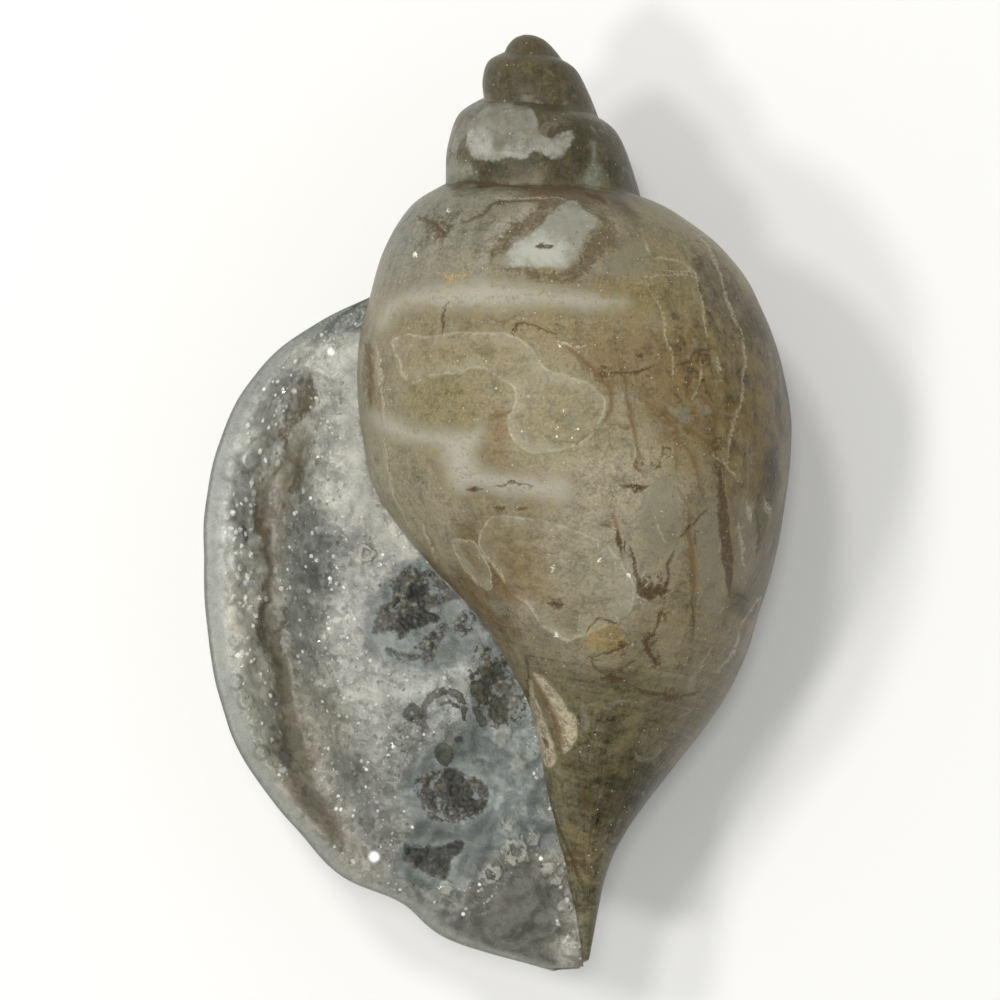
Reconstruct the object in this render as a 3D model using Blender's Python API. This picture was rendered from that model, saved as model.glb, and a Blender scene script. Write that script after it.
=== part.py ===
"""Fossil sea snail: the chalcedony cast of a left-handed gastropod, lying on its back.

The shell's coiling axis runs along Y with the apex towards +Y, and the mouth looks up, along +Z.
The origin is the centre of the small flat spot on the back that the fossil rests on.

Two pieces: the coiled cast, and the crust of quartz crystals that grew in the mouth's hollow.
Lengths are in millimetres until the last step, and each is a real size.
"""

import math
import random

import bmesh
import bpy
from mathutils import Vector, geometry, noise

MM = 0.001

# Where the fossil rests, measured on the shell
REST_ALONG = 41.0  # from the apex, along the axis
REST_ACROSS = -2.8  # from the axis, towards the lip
AXIS_HEIGHT = 25.0  # of the coiling axis above the table

# The suture's path, one row for each half turn: turns grown, distance from the apex, radius, and
# how far the whorl below it bulges past a straight line to the next suture, as a share of radius.
# Whole turns are on the left of the shell, half turns on its right.
SUTURE = (
    (-1.0, -0.35, 0.6, 1.30),
    (-0.5, 0.0, 1.4, 0.40),
    (0.0, 1.1, 2.4, 0.42),
    (0.5, 2.3, 2.8, 0.22),
    (1.0, 5.1, 4.5, 0.31),
    (1.5, 7.7, 5.6, 0.15),
    (2.0, 12.6, 8.4, 0.20),
    (2.5, 15.1, 9.2, 0.20),
    (3.0, 22.4, 15.8, 0.20),
)

# Where down a spire whorl it bulges, and by how much of its full bulge
BULGE_MARKS = ((0.184, 1.1), (0.58, 0.9))

# Outlines of the body whorl below its suture: distance from the apex, radius.
# Each names the same marks in turn: shoulder, flank, next suture's line, side, widest,
# lower side, base, upper neck, lower neck, canal, lower canal, tip.
AT_INNER_WALL = (
    (14.4, 11.6), (18.3, 14.2), (22.4, 15.8), (27.5, 17.1), (34.0, 17.2), (40.0, 16.1),
    (46.4, 11.8), (52.6, 6.5), (59.5, 3.5), (66.5, 2.6), (73.5, 1.6), (83.0, 0.3),
)
AT_RIGHT_SIDE = (
    (17.0, 12.6), (21.0, 16.9), (26.0, 19.5), (31.5, 21.0), (38.0, 21.2), (45.0, 20.0),
    (53.0, 17.2), (59.6, 13.9), (65.6, 8.6), (70.5, 4.7), (75.0, 2.3), (83.0, 0.3),
)
AT_OUTER_LIP = (
    (24.2, 20.3), (27.0, 24.8), (31.0, 28.2), (37.0, 30.8), (46.0, 32.3), (55.0, 31.7),
    (63.3, 29.5), (70.4, 24.8), (74.4, 21.3), (77.0, 16.2), (80.5, 12.3), (83.9, 3.2),
)
NEXT_SUTURE_MARK = 3

# Mesh density
COLUMNS_PER_TURN = 40
SPIRE_ROWS = 6
BODY_ROWS = 17
FACE_COLUMNS = 11

# The mouth's face, measured inwards from the lip's edge
RIM_WIDTH = 1.0
RIM_RISE = 0.35
RIM_FOOT = 1.4
COLUMELLA_FOOT = 0.6
NARROW_SHARE = 0.3  # of a row's width, where the mouth is too narrow for those sizes

# The crust
CRUST_GAP = 0.3
CRUST_THICKNESS = 1.7
CRUST_EDGE = 0.8
CRUST_FIRST_ROW = 1
CRUST_LAST_ROW = -1
CRYSTAL_SPACING = 1.85
CRYSTAL_HEIGHT = 1.1
CHALCEDONY_HEIGHT = 0.3

# The furrow between the lip's crystals and the middle ones: across, along the axis
FURROW = (
    (-21.3, 28.6), (-23.6, 33.0), (-25.6, 38.5), (-26.0, 45.5), (-25.4, 52.0),
    (-24.6, 58.5), (-23.2, 64.5), (-21.2, 70.0),
)
FURROW_DEPTH = 4.4
FURROW_HALF_WIDTH = 2.9

# The swelling of chalcedony beside the columella: centre, half sizes, height
SWELLING = (-12.6, 58.0, 6.5, 15.0, 1.5)

# Pits in the chalcedony: across, along, radius, depth
PITS = (
    (-11.1, 50.0, 3.9, 1.0),
    (-5.9, 58.4, 2.3, 0.9),
    (-10.4, 66.7, 2.8, 1.1),
    (-13.0, 72.9, 3.0, 1.0),
)

# Weathering
WEAR_DEPTH = 0.28
WEAR_SIZE = 9.0

CHALCEDONY = (0.33, 0.29, 0.21)
QUARTZ = (0.50, 0.50, 0.47)


def clear_scene():
    for thing in list(bpy.data.objects):
        bpy.data.objects.remove(thing)


def curve_through(points, place):
    """The point at place on a smooth curve that passes points[0] at 0, points[1] at 1, and so on."""
    last = len(points) - 1
    k = min(int(place), last - 1)
    f = place - k
    before, start = Vector(points[max(k - 1, 0)]), Vector(points[k])
    end, after = Vector(points[k + 1]), Vector(points[min(k + 2, last)])
    bend = 2 * before - 5 * start + 4 * end - after
    twist = 3 * start - before - 3 * end + after
    return 0.5 * (2 * start + (end - before) * f + bend * f * f + twist * f * f * f)


def suture_at(turns):
    """Distance from the apex, radius and bulge at the suture after that many turns."""
    first = SUTURE[0][0]
    return curve_through([row[1:] for row in SUTURE], (turns - first) * 2)


def spire_outline(turns):
    """Marks down a spire whorl, from its suture to the next one."""
    top, bottom = suture_at(turns), suture_at(turns + 1)
    bulge = top.y * top.z
    marks = [top]
    for share, fullness in BULGE_MARKS:
        mark = top.lerp(bottom, share)
        mark.y += bulge * fullness
        marks.append(mark)
    marks.append(bottom)
    return [mark.xy for mark in marks]


def body_outline(turns):
    """Marks down the body whorl, from its suture to the tip, blended between the three outlines."""
    grown = turns - 2.0
    shares = (
        (grown - 0.5) * (grown - 1.0) * 2.0,
        -4.0 * grown * (grown - 1.0),
        2.0 * grown * (grown - 0.5),
    )
    marks = [suture_at(turns).xy]
    for trio in zip(AT_INNER_WALL, AT_RIGHT_SIDE, AT_OUTER_LIP):
        along = sum(share * point[0] for share, point in zip(shares, trio))
        radius = math.exp(sum(share * math.log(point[1]) for share, point in zip(shares, trio)))
        marks.append(Vector((along, radius)))
    return marks


def worn(point):
    """The point moved in or out a little from the axis, as an old surface is."""
    lump = noise.noise(point / WEAR_SIZE) + 0.4 * noise.noise(point / (WEAR_SIZE * 0.4))
    radius = math.hypot(point.x, point.z)
    depth = WEAR_DEPTH * min(1.0, radius / 4.0) * lump
    scale = 1.0 + depth / max(radius, 0.1)
    return Vector((point.x * scale, point.y, point.z * scale))


def shell_point(turns, along, radius):
    """A point of the surface: x across, y down the axis from the apex, z up."""
    angle = math.tau * (turns - 2.25)
    return worn(Vector((radius * math.sin(angle), along, radius * math.cos(angle))))


def column(turns):
    """The surface points down the shell after that many turns."""
    in_body = turns > 2.0 - 1e-6
    marks = body_outline(turns) if in_body else spire_outline(turns)
    places = [NEXT_SUTURE_MARK * i / SPIRE_ROWS for i in range(SPIRE_ROWS + 1)]
    if in_body:
        rest = len(marks) - 1 - NEXT_SUTURE_MARK
        places += [NEXT_SUTURE_MARK + rest * (i + 1) / BODY_ROWS for i in range(BODY_ROWS)]
    return [shell_point(turns, *curve_through(marks, place)) for place in places]


def coiled_surface(mesh):
    """Adds the coiled outside to the bmesh and returns the body whorl's columns of vertices.

    Row SPIRE_ROWS of a spire column is row 0 one turn later, so the band closes on itself.
    """
    turn = COLUMNS_PER_TURN
    first = SUTURE[0][0]
    points = [column(first + j / turn) for j in range(4 * turn + 1)]
    columns = [[mesh.verts.new(point) for point in rows[:SPIRE_ROWS]] for rows in points]
    for j in range(3 * turn + 1):
        columns[j].append(columns[j + turn][0])
    for j in range(3 * turn, 4 * turn + 1):
        below = points[j][len(columns[j]):]
        columns[j] += [mesh.verts.new(point) for point in below]
    for left, right in zip(columns[1:], columns[2:]):
        for i in range(min(len(left), len(right)) - 1):
            mesh.faces.new((left[i], left[i + 1], right[i + 1], right[i]))
    close_apex(mesh, columns)
    return columns[3 * turn:]


def close_apex(mesh, columns):
    """Closes the first turn: its first column is a single edge, and a fan covers the top."""
    top = columns[0][0]
    first, last = columns[1], columns[0][SPIRE_ROWS]
    for vertex in columns[0][1:SPIRE_ROWS]:
        mesh.verts.remove(vertex)
    for upper, lower in zip(first, first[1:]):
        mesh.faces.new((top, lower, upper))
    mesh.faces.new((top, last, first[-1]))
    for left, right in zip(columns[1:COLUMNS_PER_TURN], columns[2:COLUMNS_PER_TURN + 1]):
        mesh.faces.new((top, left[0], right[0]))


def inner_wall_at(wall, along):
    """The point of the inner wall's column at that distance from the apex."""
    for upper, lower in zip(wall, wall[1:]):
        if along <= lower.co.y:
            share = (along - upper.co.y) / (lower.co.y - upper.co.y)
            return upper.co.lerp(lower.co, max(0.0, share))
    return wall[-1].co.copy()


def near_curve(points, x, y):
    """Distance from (x, y) to the smooth curve through points, and how far along it that is, 0 to 1."""
    steps = 8 * (len(points) - 1)
    return min(
        ((curve_through(points, i / 8) - Vector((x, y))).length, i / steps) for i in range(steps + 1)
    )


def crust_level(x, y):
    """Height of the crust's top above the mouth's edge, without its crystals."""
    away, place = near_curve(FURROW, x, y)
    ends = min(1.0, 5.0 * place + 0.25, 4.0 * (1.0 - place) + 0.25)
    level = 0.35 - FURROW_DEPTH * ends * math.exp(-((away / FURROW_HALF_WIDTH) ** 2))
    across, along, half_width, half_length, height = SWELLING
    apart = ((x - across) / half_width) ** 2 + ((y - along) / half_length) ** 2
    level += height * math.exp(-apart)
    for across, along, radius, depth in PITS:
        apart = ((x - across) / radius) ** 2 + ((y - along) / radius) ** 2
        level -= depth * math.exp(-apart * apart)
    return level


def face_row(edge, wall_point):
    """Points across the mouth from the lip's edge to the columella, at one distance from the apex."""
    width = (wall_point - edge).length
    rim = min(RIM_WIDTH, NARROW_SHARE * width * 0.5)
    foot = min(RIM_FOOT, NARROW_SHARE * width)
    last = width - min(COLUMELLA_FOOT, NARROW_SHARE * width * 0.6)
    inside = FACE_COLUMNS - 2
    places = [rim * 0.35, rim] + [foot + (last - foot) * i / inside for i in range(inside + 1)]
    deep = min(1.0, width / 9.0)
    row = []
    for n, place in enumerate(places):
        point = edge.lerp(wall_point, place / width)
        if n == 0:
            point.z += 0.7 * RIM_RISE
        elif n == 1:
            point.z += RIM_RISE
        else:
            point.z += deep * (crust_level(point.x, point.y) - CRUST_THICKNESS)
        row.append(point)
    return row


def zip_lines(mesh, left, right):
    """Triangles between two lines of vertices that may differ in number, matched by distance along."""
    i = j = 0
    while i < len(left) - 1 or j < len(right) - 1:
        left_next = left[i + 1].co.y if i < len(left) - 1 else math.inf
        right_next = right[j + 1].co.y if j < len(right) - 1 else math.inf
        if left_next <= right_next:
            mesh.faces.new((left[i], left[i + 1], right[j]))
            i += 1
        else:
            mesh.faces.new((left[i], right[j + 1], right[j]))
            j += 1


def mouth_face(mesh, columns):
    """Closes the last whorl's end with the mouth's face, and returns its grid of points."""
    lip, wall = columns[-1], columns[0][SPIRE_ROWS:]
    grid = [face_row(edge.co, inner_wall_at(wall, edge.co.y)) for edge in lip[1:]]
    rows = [[edge] + [mesh.verts.new(point) for point in row] for edge, row in zip(lip[1:], grid)]
    for upper, lower in zip(rows, rows[1:]):
        for k in range(len(upper) - 1):
            mesh.faces.new((upper[k], lower[k], lower[k + 1], upper[k + 1]))
    for left, right in zip(rows[0], rows[0][1:]):
        mesh.faces.new((lip[0], left, right))
    zip_lines(mesh, [row[-1] for row in rows], wall)
    end = [rows_of[-1] for rows_of in columns] + rows[-1][1:]
    middle = sum((vertex.co for vertex in end), Vector()) / len(end)
    middle.y += 0.15
    centre = mesh.verts.new(middle)
    for vertex, following in zip(end, end[1:] + end[:1]):
        mesh.faces.new((vertex, following, centre))
    return grid


def to_frame(point):
    """From the shell's own millimetres to metres in the fossil's frame."""
    return Vector((point.x - REST_ACROSS, REST_ALONG - point.y, point.z + AXIS_HEIGHT)) * MM


def cut_rest_spot(mesh):
    """Cuts the back flat where the fossil touches the table."""
    everything = mesh.verts[:] + mesh.edges[:] + mesh.faces[:]
    cut = bmesh.ops.bisect_plane(
        mesh, geom=everything, dist=1e-7, plane_co=(0, 0, 0), plane_no=(0, 0, -1), clear_outer=True
    )
    edges = [part for part in cut["geom_cut"] if isinstance(part, bmesh.types.BMEdge)]
    bmesh.ops.holes_fill(mesh, edges=edges)


def material(name, colour, roughness):
    made = bpy.data.materials.new(name)
    made.use_nodes = True
    shader = made.node_tree.nodes["Principled BSDF"]
    shader.inputs["Base Color"].default_value = (*colour, 1.0)
    shader.inputs["Roughness"].default_value = roughness
    shader.inputs["Metallic"].default_value = 0.0
    return made


def add_object(name, mesh, collection, finish):
    data = bpy.data.meshes.new(name)
    bmesh.ops.recalc_face_normals(mesh, faces=mesh.faces[:])
    mesh.to_mesh(data)
    mesh.free()
    data.materials.append(finish)
    made = bpy.data.objects.new(name, data)
    collection.objects.link(made)
    return made


def make_cast(collection):
    """Makes the coiled cast, cut flat where it rests, and returns its mouth's grid of points."""
    mesh = bmesh.new()
    columns = coiled_surface(mesh)
    grid = mouth_face(mesh, columns)
    for vertex in mesh.verts:
        vertex.co = to_frame(vertex.co)
    cut_rest_spot(mesh)
    cast = add_object("shell_cast", mesh, collection, material("chalcedony", CHALCEDONY, 0.25))
    cast.data.shade_smooth()
    cast.data.set_sharp_from_angle(angle=math.radians(38))
    return grid


def inside(point, loop):
    """Whether the loop's outline, seen from above, holds the point."""
    held = False
    for a, b in zip(loop, loop[1:] + loop[:1]):
        if (a.y > point.y) != (b.y > point.y):
            crossing = a.x + (point.y - a.y) * (b.x - a.x) / (b.y - a.y)
            held ^= point.x < crossing
    return held


def crystal_seeds(loop):
    """Where the crust's crystals stand: a jittered triangular grid, clear of the crust's edge."""
    chance = random.Random(7)
    low = Vector((min(p.x for p in loop), min(p.y for p in loop)))
    high = Vector((max(p.x for p in loop), max(p.y for p in loop)))
    row_step = CRYSTAL_SPACING * math.sqrt(0.75)
    seeds = []
    for r in range(int((high.y - low.y) / row_step) + 1):
        for c in range(int((high.x - low.x) / CRYSTAL_SPACING) + 2):
            jitter = Vector((chance.uniform(-1, 1), chance.uniform(-1, 1))) * 0.3 * CRYSTAL_SPACING
            seed = Vector((low.x + (c + 0.5 * (r % 2)) * CRYSTAL_SPACING, low.y + r * row_step))
            seed += jitter
            clear = min((Vector(p[:2]) - seed).length for p in loop) > 0.55 * CRYSTAL_SPACING
            if clear and inside(seed, loop):
                seeds.append(seed)
    return seeds


def crystal_share(x, y):
    """1 among the crystals, 0 on the smooth chalcedony beside the columella and down the canal."""
    from_columella = -x - 7.5 - 0.5 * max(0.0, 52.0 - y)
    return max(0.0, min(1.0, 0.5 + 0.22 * (from_columella - 0.14 * (y - 50.0))))


def crust_top(x, y, apex, chance):
    """Height of a crystal's tip, or of the valley between crystals."""
    share = crystal_share(x, y)
    tall = CHALCEDONY_HEIGHT + (CRYSTAL_HEIGHT - CHALCEDONY_HEIGHT) * share
    offset = tall * chance.uniform(0.35, 0.85) if apex else -0.35 * tall
    return crust_level(x, y) + offset


def crust_underside(mesh, grid):
    """Adds the crust's underside, a set gap above the mouth's face, and returns its edge loop."""
    rows = grid[CRUST_FIRST_ROW:CRUST_LAST_ROW]
    lift = Vector((0, 0, CRUST_GAP))
    verts = [[mesh.verts.new(point + lift) for point in row[2:]] for row in rows]
    for upper, lower in zip(verts, verts[1:]):
        for k in range(len(upper) - 1):
            mesh.faces.new((upper[k], lower[k], lower[k + 1], upper[k + 1]))
    left = [row[0] for row in verts]
    right = [row[-1] for row in verts]
    return verts[0] + right[1:-1] + verts[-1][::-1] + left[-2:0:-1]


def crystal_surface(mesh, loop):
    """Adds the crust's top: each crystal is a low pyramid on the cell around its seed."""
    chance = random.Random(11)
    edge = [Vector(vertex.co) for vertex in loop]
    flat = [Vector(point[:2]) for point in edge] + crystal_seeds(edge)
    count = len(edge)
    outline = [(i, (i + 1) % count) for i in range(count)]
    places, _, triangles, origins, _, _ = geometry.delaunay_2d_cdt(flat, outline, [], 1, 1e-6)
    verts = []
    for place, origin in zip(places, origins):
        if origin[0] < count:
            height = edge[origin[0]].z + CRUST_EDGE
        else:
            height = crust_top(place.x, place.y, True, chance)
        verts.append(mesh.verts.new((place.x, place.y, height)))
    beside = {}
    for triangle in triangles:
        middle = sum((places[i] for i in triangle), Vector((0, 0))) / 3
        valley = mesh.verts.new((*middle, crust_top(*middle, False, chance)))
        for a, b in zip(triangle, triangle[1:] + triangle[:1]):
            beside.setdefault(frozenset((a, b)), []).append((a, b, valley))
    for sides in beside.values():
        a, b, valley = sides[0]
        if len(sides) == 1:
            mesh.faces.new((verts[a], verts[b], valley))
        else:
            other = sides[1][2]
            mesh.faces.new((verts[a], other, valley))
            mesh.faces.new((verts[b], valley, other))
    top_of = {origin[0]: vertex for vertex, origin in zip(verts, origins) if origin[0] < count}
    return [top_of[i] for i in range(count)]


def make_crust(collection, grid):
    """The quartz crust that lines the mouth, clear of the cast by a small gap."""
    mesh = bmesh.new()
    loop = crust_underside(mesh, grid)
    top = crystal_surface(mesh, loop)
    for i in range(len(loop)):
        following = (i + 1) % len(loop)
        mesh.faces.new((loop[i], loop[following], top[following], top[i]))
    for vertex in mesh.verts:
        vertex.co = to_frame(vertex.co)
    return add_object("quartz_crust", mesh, collection, material("quartz", QUARTZ, 0.15))


def main():
    clear_scene()
    collection = bpy.data.collections.new("fossil_sea_snail")
    bpy.context.scene.collection.children.link(collection)
    grid = make_cast(collection)
    make_crust(collection, grid)


main()
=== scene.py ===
"""Looks of the fossil sea snail: its chalcedony cast, the crust in its mouth and the quartz on it.

The shell's own measures are in millimetres: x across, y down the coiling axis from the apex, z up.
Markings are named values in pixels of a square picture 1000 wide, as the camera here sees them, and
each is worked into a distance on the surface, so that it stays on the stone from any side.
"""

import math

import bmesh
import bpy
import numpy as np
from mathutils import Matrix, Vector, noise


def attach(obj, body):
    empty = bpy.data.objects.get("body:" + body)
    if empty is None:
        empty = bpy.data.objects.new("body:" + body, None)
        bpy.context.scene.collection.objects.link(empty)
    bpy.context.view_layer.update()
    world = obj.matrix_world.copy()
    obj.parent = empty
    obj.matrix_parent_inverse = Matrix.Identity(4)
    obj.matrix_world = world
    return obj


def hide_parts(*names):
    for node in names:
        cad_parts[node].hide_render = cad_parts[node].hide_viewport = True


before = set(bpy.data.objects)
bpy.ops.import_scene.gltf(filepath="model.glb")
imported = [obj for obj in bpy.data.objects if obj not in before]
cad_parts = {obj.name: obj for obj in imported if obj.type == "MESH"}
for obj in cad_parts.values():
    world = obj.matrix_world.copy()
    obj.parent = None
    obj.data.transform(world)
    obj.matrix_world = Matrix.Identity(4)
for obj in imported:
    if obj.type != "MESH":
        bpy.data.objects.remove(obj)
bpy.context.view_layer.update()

MM = 0.001

# The shell, as the solids have it: where it rests, and the outlines of its whorls
REST_ALONG = 41.0
REST_ACROSS = -2.8
AXIS_HEIGHT = 25.0

# Turns grown, distance from the apex, radius, and the bulge of the whorl below
SUTURE = np.array((
    (-1.0, -0.35, 0.5, 1.00),
    (-0.5, 0.0, 0.8, 0.30),
    (0.0, 1.1, 2.4, 0.42),
    (0.5, 2.3, 2.8, 0.22),
    (1.0, 5.1, 4.5, 0.31),
    (1.5, 7.7, 5.6, 0.15),
    (2.0, 12.6, 8.4, 0.20),
    (2.5, 15.1, 9.2, 0.20),
    (3.0, 22.4, 15.8, 0.20),
))
# Share of the way to the next suture, and how full the whorl is there
BULGE_MARKS = ((0.184, 1.1), (0.58, 0.9))

# Marks down the body whorl, below its suture: distance from the apex, radius
AT_INNER_WALL = np.array((
    (14.4, 11.6), (18.3, 14.2), (22.4, 15.8), (27.5, 17.1), (34.0, 17.2), (40.0, 16.1),
    (46.4, 11.8), (52.6, 6.5), (59.5, 3.5), (66.5, 2.6), (73.5, 1.6), (83.0, 0.3),
))
AT_RIGHT_SIDE = np.array((
    (17.0, 12.6), (21.0, 16.9), (26.0, 19.5), (31.5, 21.0), (38.0, 21.2), (45.0, 20.0),
    (53.0, 17.2), (59.6, 13.9), (65.6, 8.6), (70.5, 4.7), (75.0, 2.3), (83.0, 0.3),
))
AT_OUTER_LIP = np.array((
    (24.2, 20.3), (27.0, 24.8), (31.0, 28.2), (37.0, 30.8), (46.0, 32.3), (55.0, 31.7),
    (63.3, 29.5), (70.4, 24.8), (74.4, 21.3), (77.0, 16.2), (80.5, 12.3), (83.9, 3.2),
))
NEXT_SUTURE_MARK = 3
FIRST_TURN = -1.0
LIP_TURN = 3.0
FACING_TURN = 2.25  # its middle line faces straight up

# The fine mesh of the cast: closer together on the side that shows the most
FRONT_SHARE = 0.54
FRONT_COLUMNS = 200
BACK_COLUMNS = 86
SPIRE_ROWS = 30
BODY_ROWS = 162

# The mouth's rim
RIM_WIDTH = 1.0
RIM_RISE = 0.35
# Places across the rim in widths of it, and shares of its rise
RIM_PROFILE = ((0.1, 0.4), (0.25, 0.75), (0.45, 0.95), (0.9, 1.0), (1.35, 0.2))
NARROW_SHARE = 0.15
FLOOR_COLUMNS = 10
FLOOR_DEPTH = 1.5
DEEP_WIDTH = 9.0

COIL_SCALE = (60.0, 5.5)  # turns and marks to stored numbers

WEAR_DEPTH = 0.28
WEAR_SIZE = 9.0

# The crust's large forms
FURROW = (
    (-21.3, 28.6), (-23.6, 33.0), (-25.6, 38.5), (-26.0, 45.5), (-25.4, 52.0),
    (-24.6, 58.5), (-23.2, 64.5), (-21.2, 70.0),
)
FURROW_DEPTH = 4.4
FURROW_HALF_WIDTH = 2.9
# Places across and along, half sizes, height
SWELLING = (-12.6, 58.0, 6.5, 15.0, 1.5)
# Places across and along, radius, depth
PITS = (
    (-11.1, 50.0, 3.9, 1.0),
    (-5.9, 58.4, 2.3, 0.9),
    (-10.4, 66.7, 2.8, 1.1),
    (-13.0, 72.9, 3.0, 1.0),
)

# The fine mesh of the crust; its underside has one cell for each UNDER_STEP of the top's
CRUST_FIRST = 23.2
CRUST_LAST = 83.7
CRUST_ROWS = 464
CRUST_COLUMNS = 200
UNDER_STEP = 8
CRUST_INSET = 0.12
# Widths of the rim in from its edge, and how much lower the crust is there
CRUST_EDGE = ((0.0, 0.25), (0.12, 0.22), (0.25, 0.11), (0.45, 0.04), (0.7, 0.0))
CRUST_OVERLAP = 0.35
CRUST_THICKNESS = 1.3

# The camera: straight above, turned a little about the vertical
CAMERA_MM = (-2.39, -0.34, 525.0)
CAMERA_TURN = math.radians(-3.445)
LENS = 200.0
SENSOR = 36.0
PICTURE = 1000.0
PIXEL = 0.09  # millimetres, at the mouth's height

# Distances to markings are worked out no further than this, in pixels
REACH = 40.0


# Curves and distances


def curve_through(marks, places):
    """Points at the places on smooth curves that pass mark 0 at 0, mark 1 at 1, and so on."""
    last = marks.shape[-2] - 1
    k = np.minimum(places.astype(int), last - 1)
    f = (places - k)[:, None]
    before, start = marks[..., np.maximum(k - 1, 0), :], marks[..., k, :]
    end, after = marks[..., k + 1, :], marks[..., np.minimum(k + 2, last), :]
    bend = 2 * before - 5 * start + 4 * end - after
    twist = 3 * start - before - 3 * end + after
    return 0.5 * (2 * start + (end - before) * f + bend * f**2 + twist * f**3)


def smooth_line(points, closed=False, steps=6):
    """Points on a smooth curve through the given ones. A third number, a width, goes along."""
    marks = np.array(points, float)
    count = len(marks)
    if not closed:
        return curve_through(marks, np.arange((count - 1) * steps + 1) / steps)
    marks = np.concatenate([marks[-1:], marks, marks[:2]])
    return curve_through(marks, 1 + np.arange(count * steps + 1) / steps)


def step(value, low, high):
    """0 below low, 1 above high and smooth between; low may be the larger."""
    share = np.clip((value - low) / (high - low), 0.0, 1.0)
    return share * share * (3.0 - 2.0 * share)


def cloud(points, size, octaves=3, shift=0.0):
    """Smooth noise about 0, mostly within 0.5, with lumps of that size."""
    move = Vector((shift, 1.7 * shift, -shift))
    return np.array([noise.fractal(Vector(p) / size + move, 1.0, 2.0, octaves) for p in points.tolist()])


def clouds(points, size, octaves, *shifts):
    """One such noise for each shift, side by side."""
    return np.stack([cloud(points, size, octaves, shift) for shift in shifts], -1)


def near_line(spots, line):
    """Distance from each spot to the line, which side it's on, and the line's third number there."""
    best = np.full(len(spots), np.inf)
    side = np.ones(len(spots))
    width = np.zeros(len(spots))
    for start, end in zip(line, line[1:]):
        run = end[:2] - start[:2]
        away = spots - start[:2]
        share = np.clip(away @ run / max(run @ run, 1e-9), 0.0, 1.0)
        gap = np.hypot(*(away - share[:, None] * run).T)
        closer = gap < best
        best[closer] = gap[closer]
        cross = run[0] * away[:, 1] - run[1] * away[:, 0]
        side[closer] = np.where(cross[closer] < 0, -1.0, 1.0)
        if len(start) > 2:
            width[closer] = (start[2] + share * (end[2] - start[2]))[closer]
    return best, side, width


def inside(spots, loop):
    """Whether each spot lies inside the closed loop."""
    held = np.zeros(len(spots), bool)
    x, y = spots.T
    for a, b in zip(loop, loop[1:]):
        if a[1] != b[1]:
            crosses = (a[1] > y) != (b[1] > y)
            held ^= crosses & (x < a[0] + (y - a[1]) * (b[0] - a[0]) / (b[1] - a[1]))
    return held


def close_by(spots, line):
    """The numbers of the spots that the line may reach."""
    low, high = line[:, :2].min(0) - REACH, line[:, :2].max(0) + REACH
    return np.flatnonzero(((spots > low) & (spots < high)).all(1))


def outline_gap(spots, outlines):
    """Pixels to the nearest of the closed outlines (x, y, x, y and so on), less than 0 inside one."""
    gap = np.full(len(spots), REACH)
    for row in outlines:
        line = smooth_line(np.reshape(row, (-1, 2)), closed=True)
        near = close_by(spots, line)
        away, _, _ = near_line(spots[near], line)
        signed = np.where(inside(spots[near], line), -away, away)
        gap[near] = np.minimum(gap[near], signed)
    return gap


def stroke_gap(spots, strokes):
    """For the nearest stroke (x, y, half width, x, y and so on): pixels to its middle, with the side
    as sign, pixels to its edge, and its half width.
    """
    middle = np.full(len(spots), REACH)
    edge = np.full(len(spots), REACH)
    half = np.zeros(len(spots))
    for row in strokes:
        line = smooth_line(np.reshape(row, (-1, 3)))
        near = close_by(spots, line)
        away, side, width = near_line(spots[near], line)
        closer = away - width < edge[near]
        which = near[closer]
        edge[which] = (away - width)[closer]
        middle[which] = (side * away)[closer]
        half[which] = width[closer]
    return middle, edge, half


def blob_share(spots, blobs):
    """1 in the middle of the nearest round blob (x, y, radius) and 0 outside it."""
    share = np.zeros(len(spots))
    for x, y, radius in blobs:
        away = np.hypot(spots[:, 0] - x, spots[:, 1] - y)
        share = np.maximum(share, step(away, radius * 1.15, radius * 0.6))
    return share


def in_frame(points):
    """From the shell's own millimetres to metres in the fossil's frame."""
    across = points[..., 0] - REST_ACROSS
    along = REST_ALONG - points[..., 1]
    return np.stack([across, along, points[..., 2] + AXIS_HEIGHT], -1) * MM


def in_picture(points):
    """Where the camera sees points of the shell, in pixels."""
    away = in_frame(points) / MM - np.array(CAMERA_MM)
    right = away[:, 0] * math.cos(CAMERA_TURN) + away[:, 1] * math.sin(CAMERA_TURN)
    up = away[:, 1] * math.cos(CAMERA_TURN) - away[:, 0] * math.sin(CAMERA_TURN)
    scale = PICTURE * LENS / SENSOR / -away[:, 2]
    return np.stack([PICTURE / 2 + right * scale, PICTURE / 2 - up * scale], -1)


def light(colour):
    """Linear colour from one given as the eye sees it, 0 to 255."""
    share = np.array(colour, float) / 255.0
    return np.where(share <= 0.04045, share / 12.92, ((share + 0.055) / 1.055) ** 2.4)


# The cast's shape


def suture_at(turns):
    return curve_through(SUTURE[:, 1:], (turns - FIRST_TURN) * 2)


def spire_outline(turns):
    """Marks down a spire whorl, from its suture to the next one."""
    top, bottom = suture_at(turns), suture_at(turns + 1)
    marks = [top[:, :2]]
    for share, fullness in BULGE_MARKS:
        mark = top + (bottom - top) * share
        mark[:, 1] += top[:, 1] * top[:, 2] * fullness
        marks.append(mark[:, :2])
    marks.append(bottom[:, :2])
    return np.stack(marks, 1)


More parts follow.
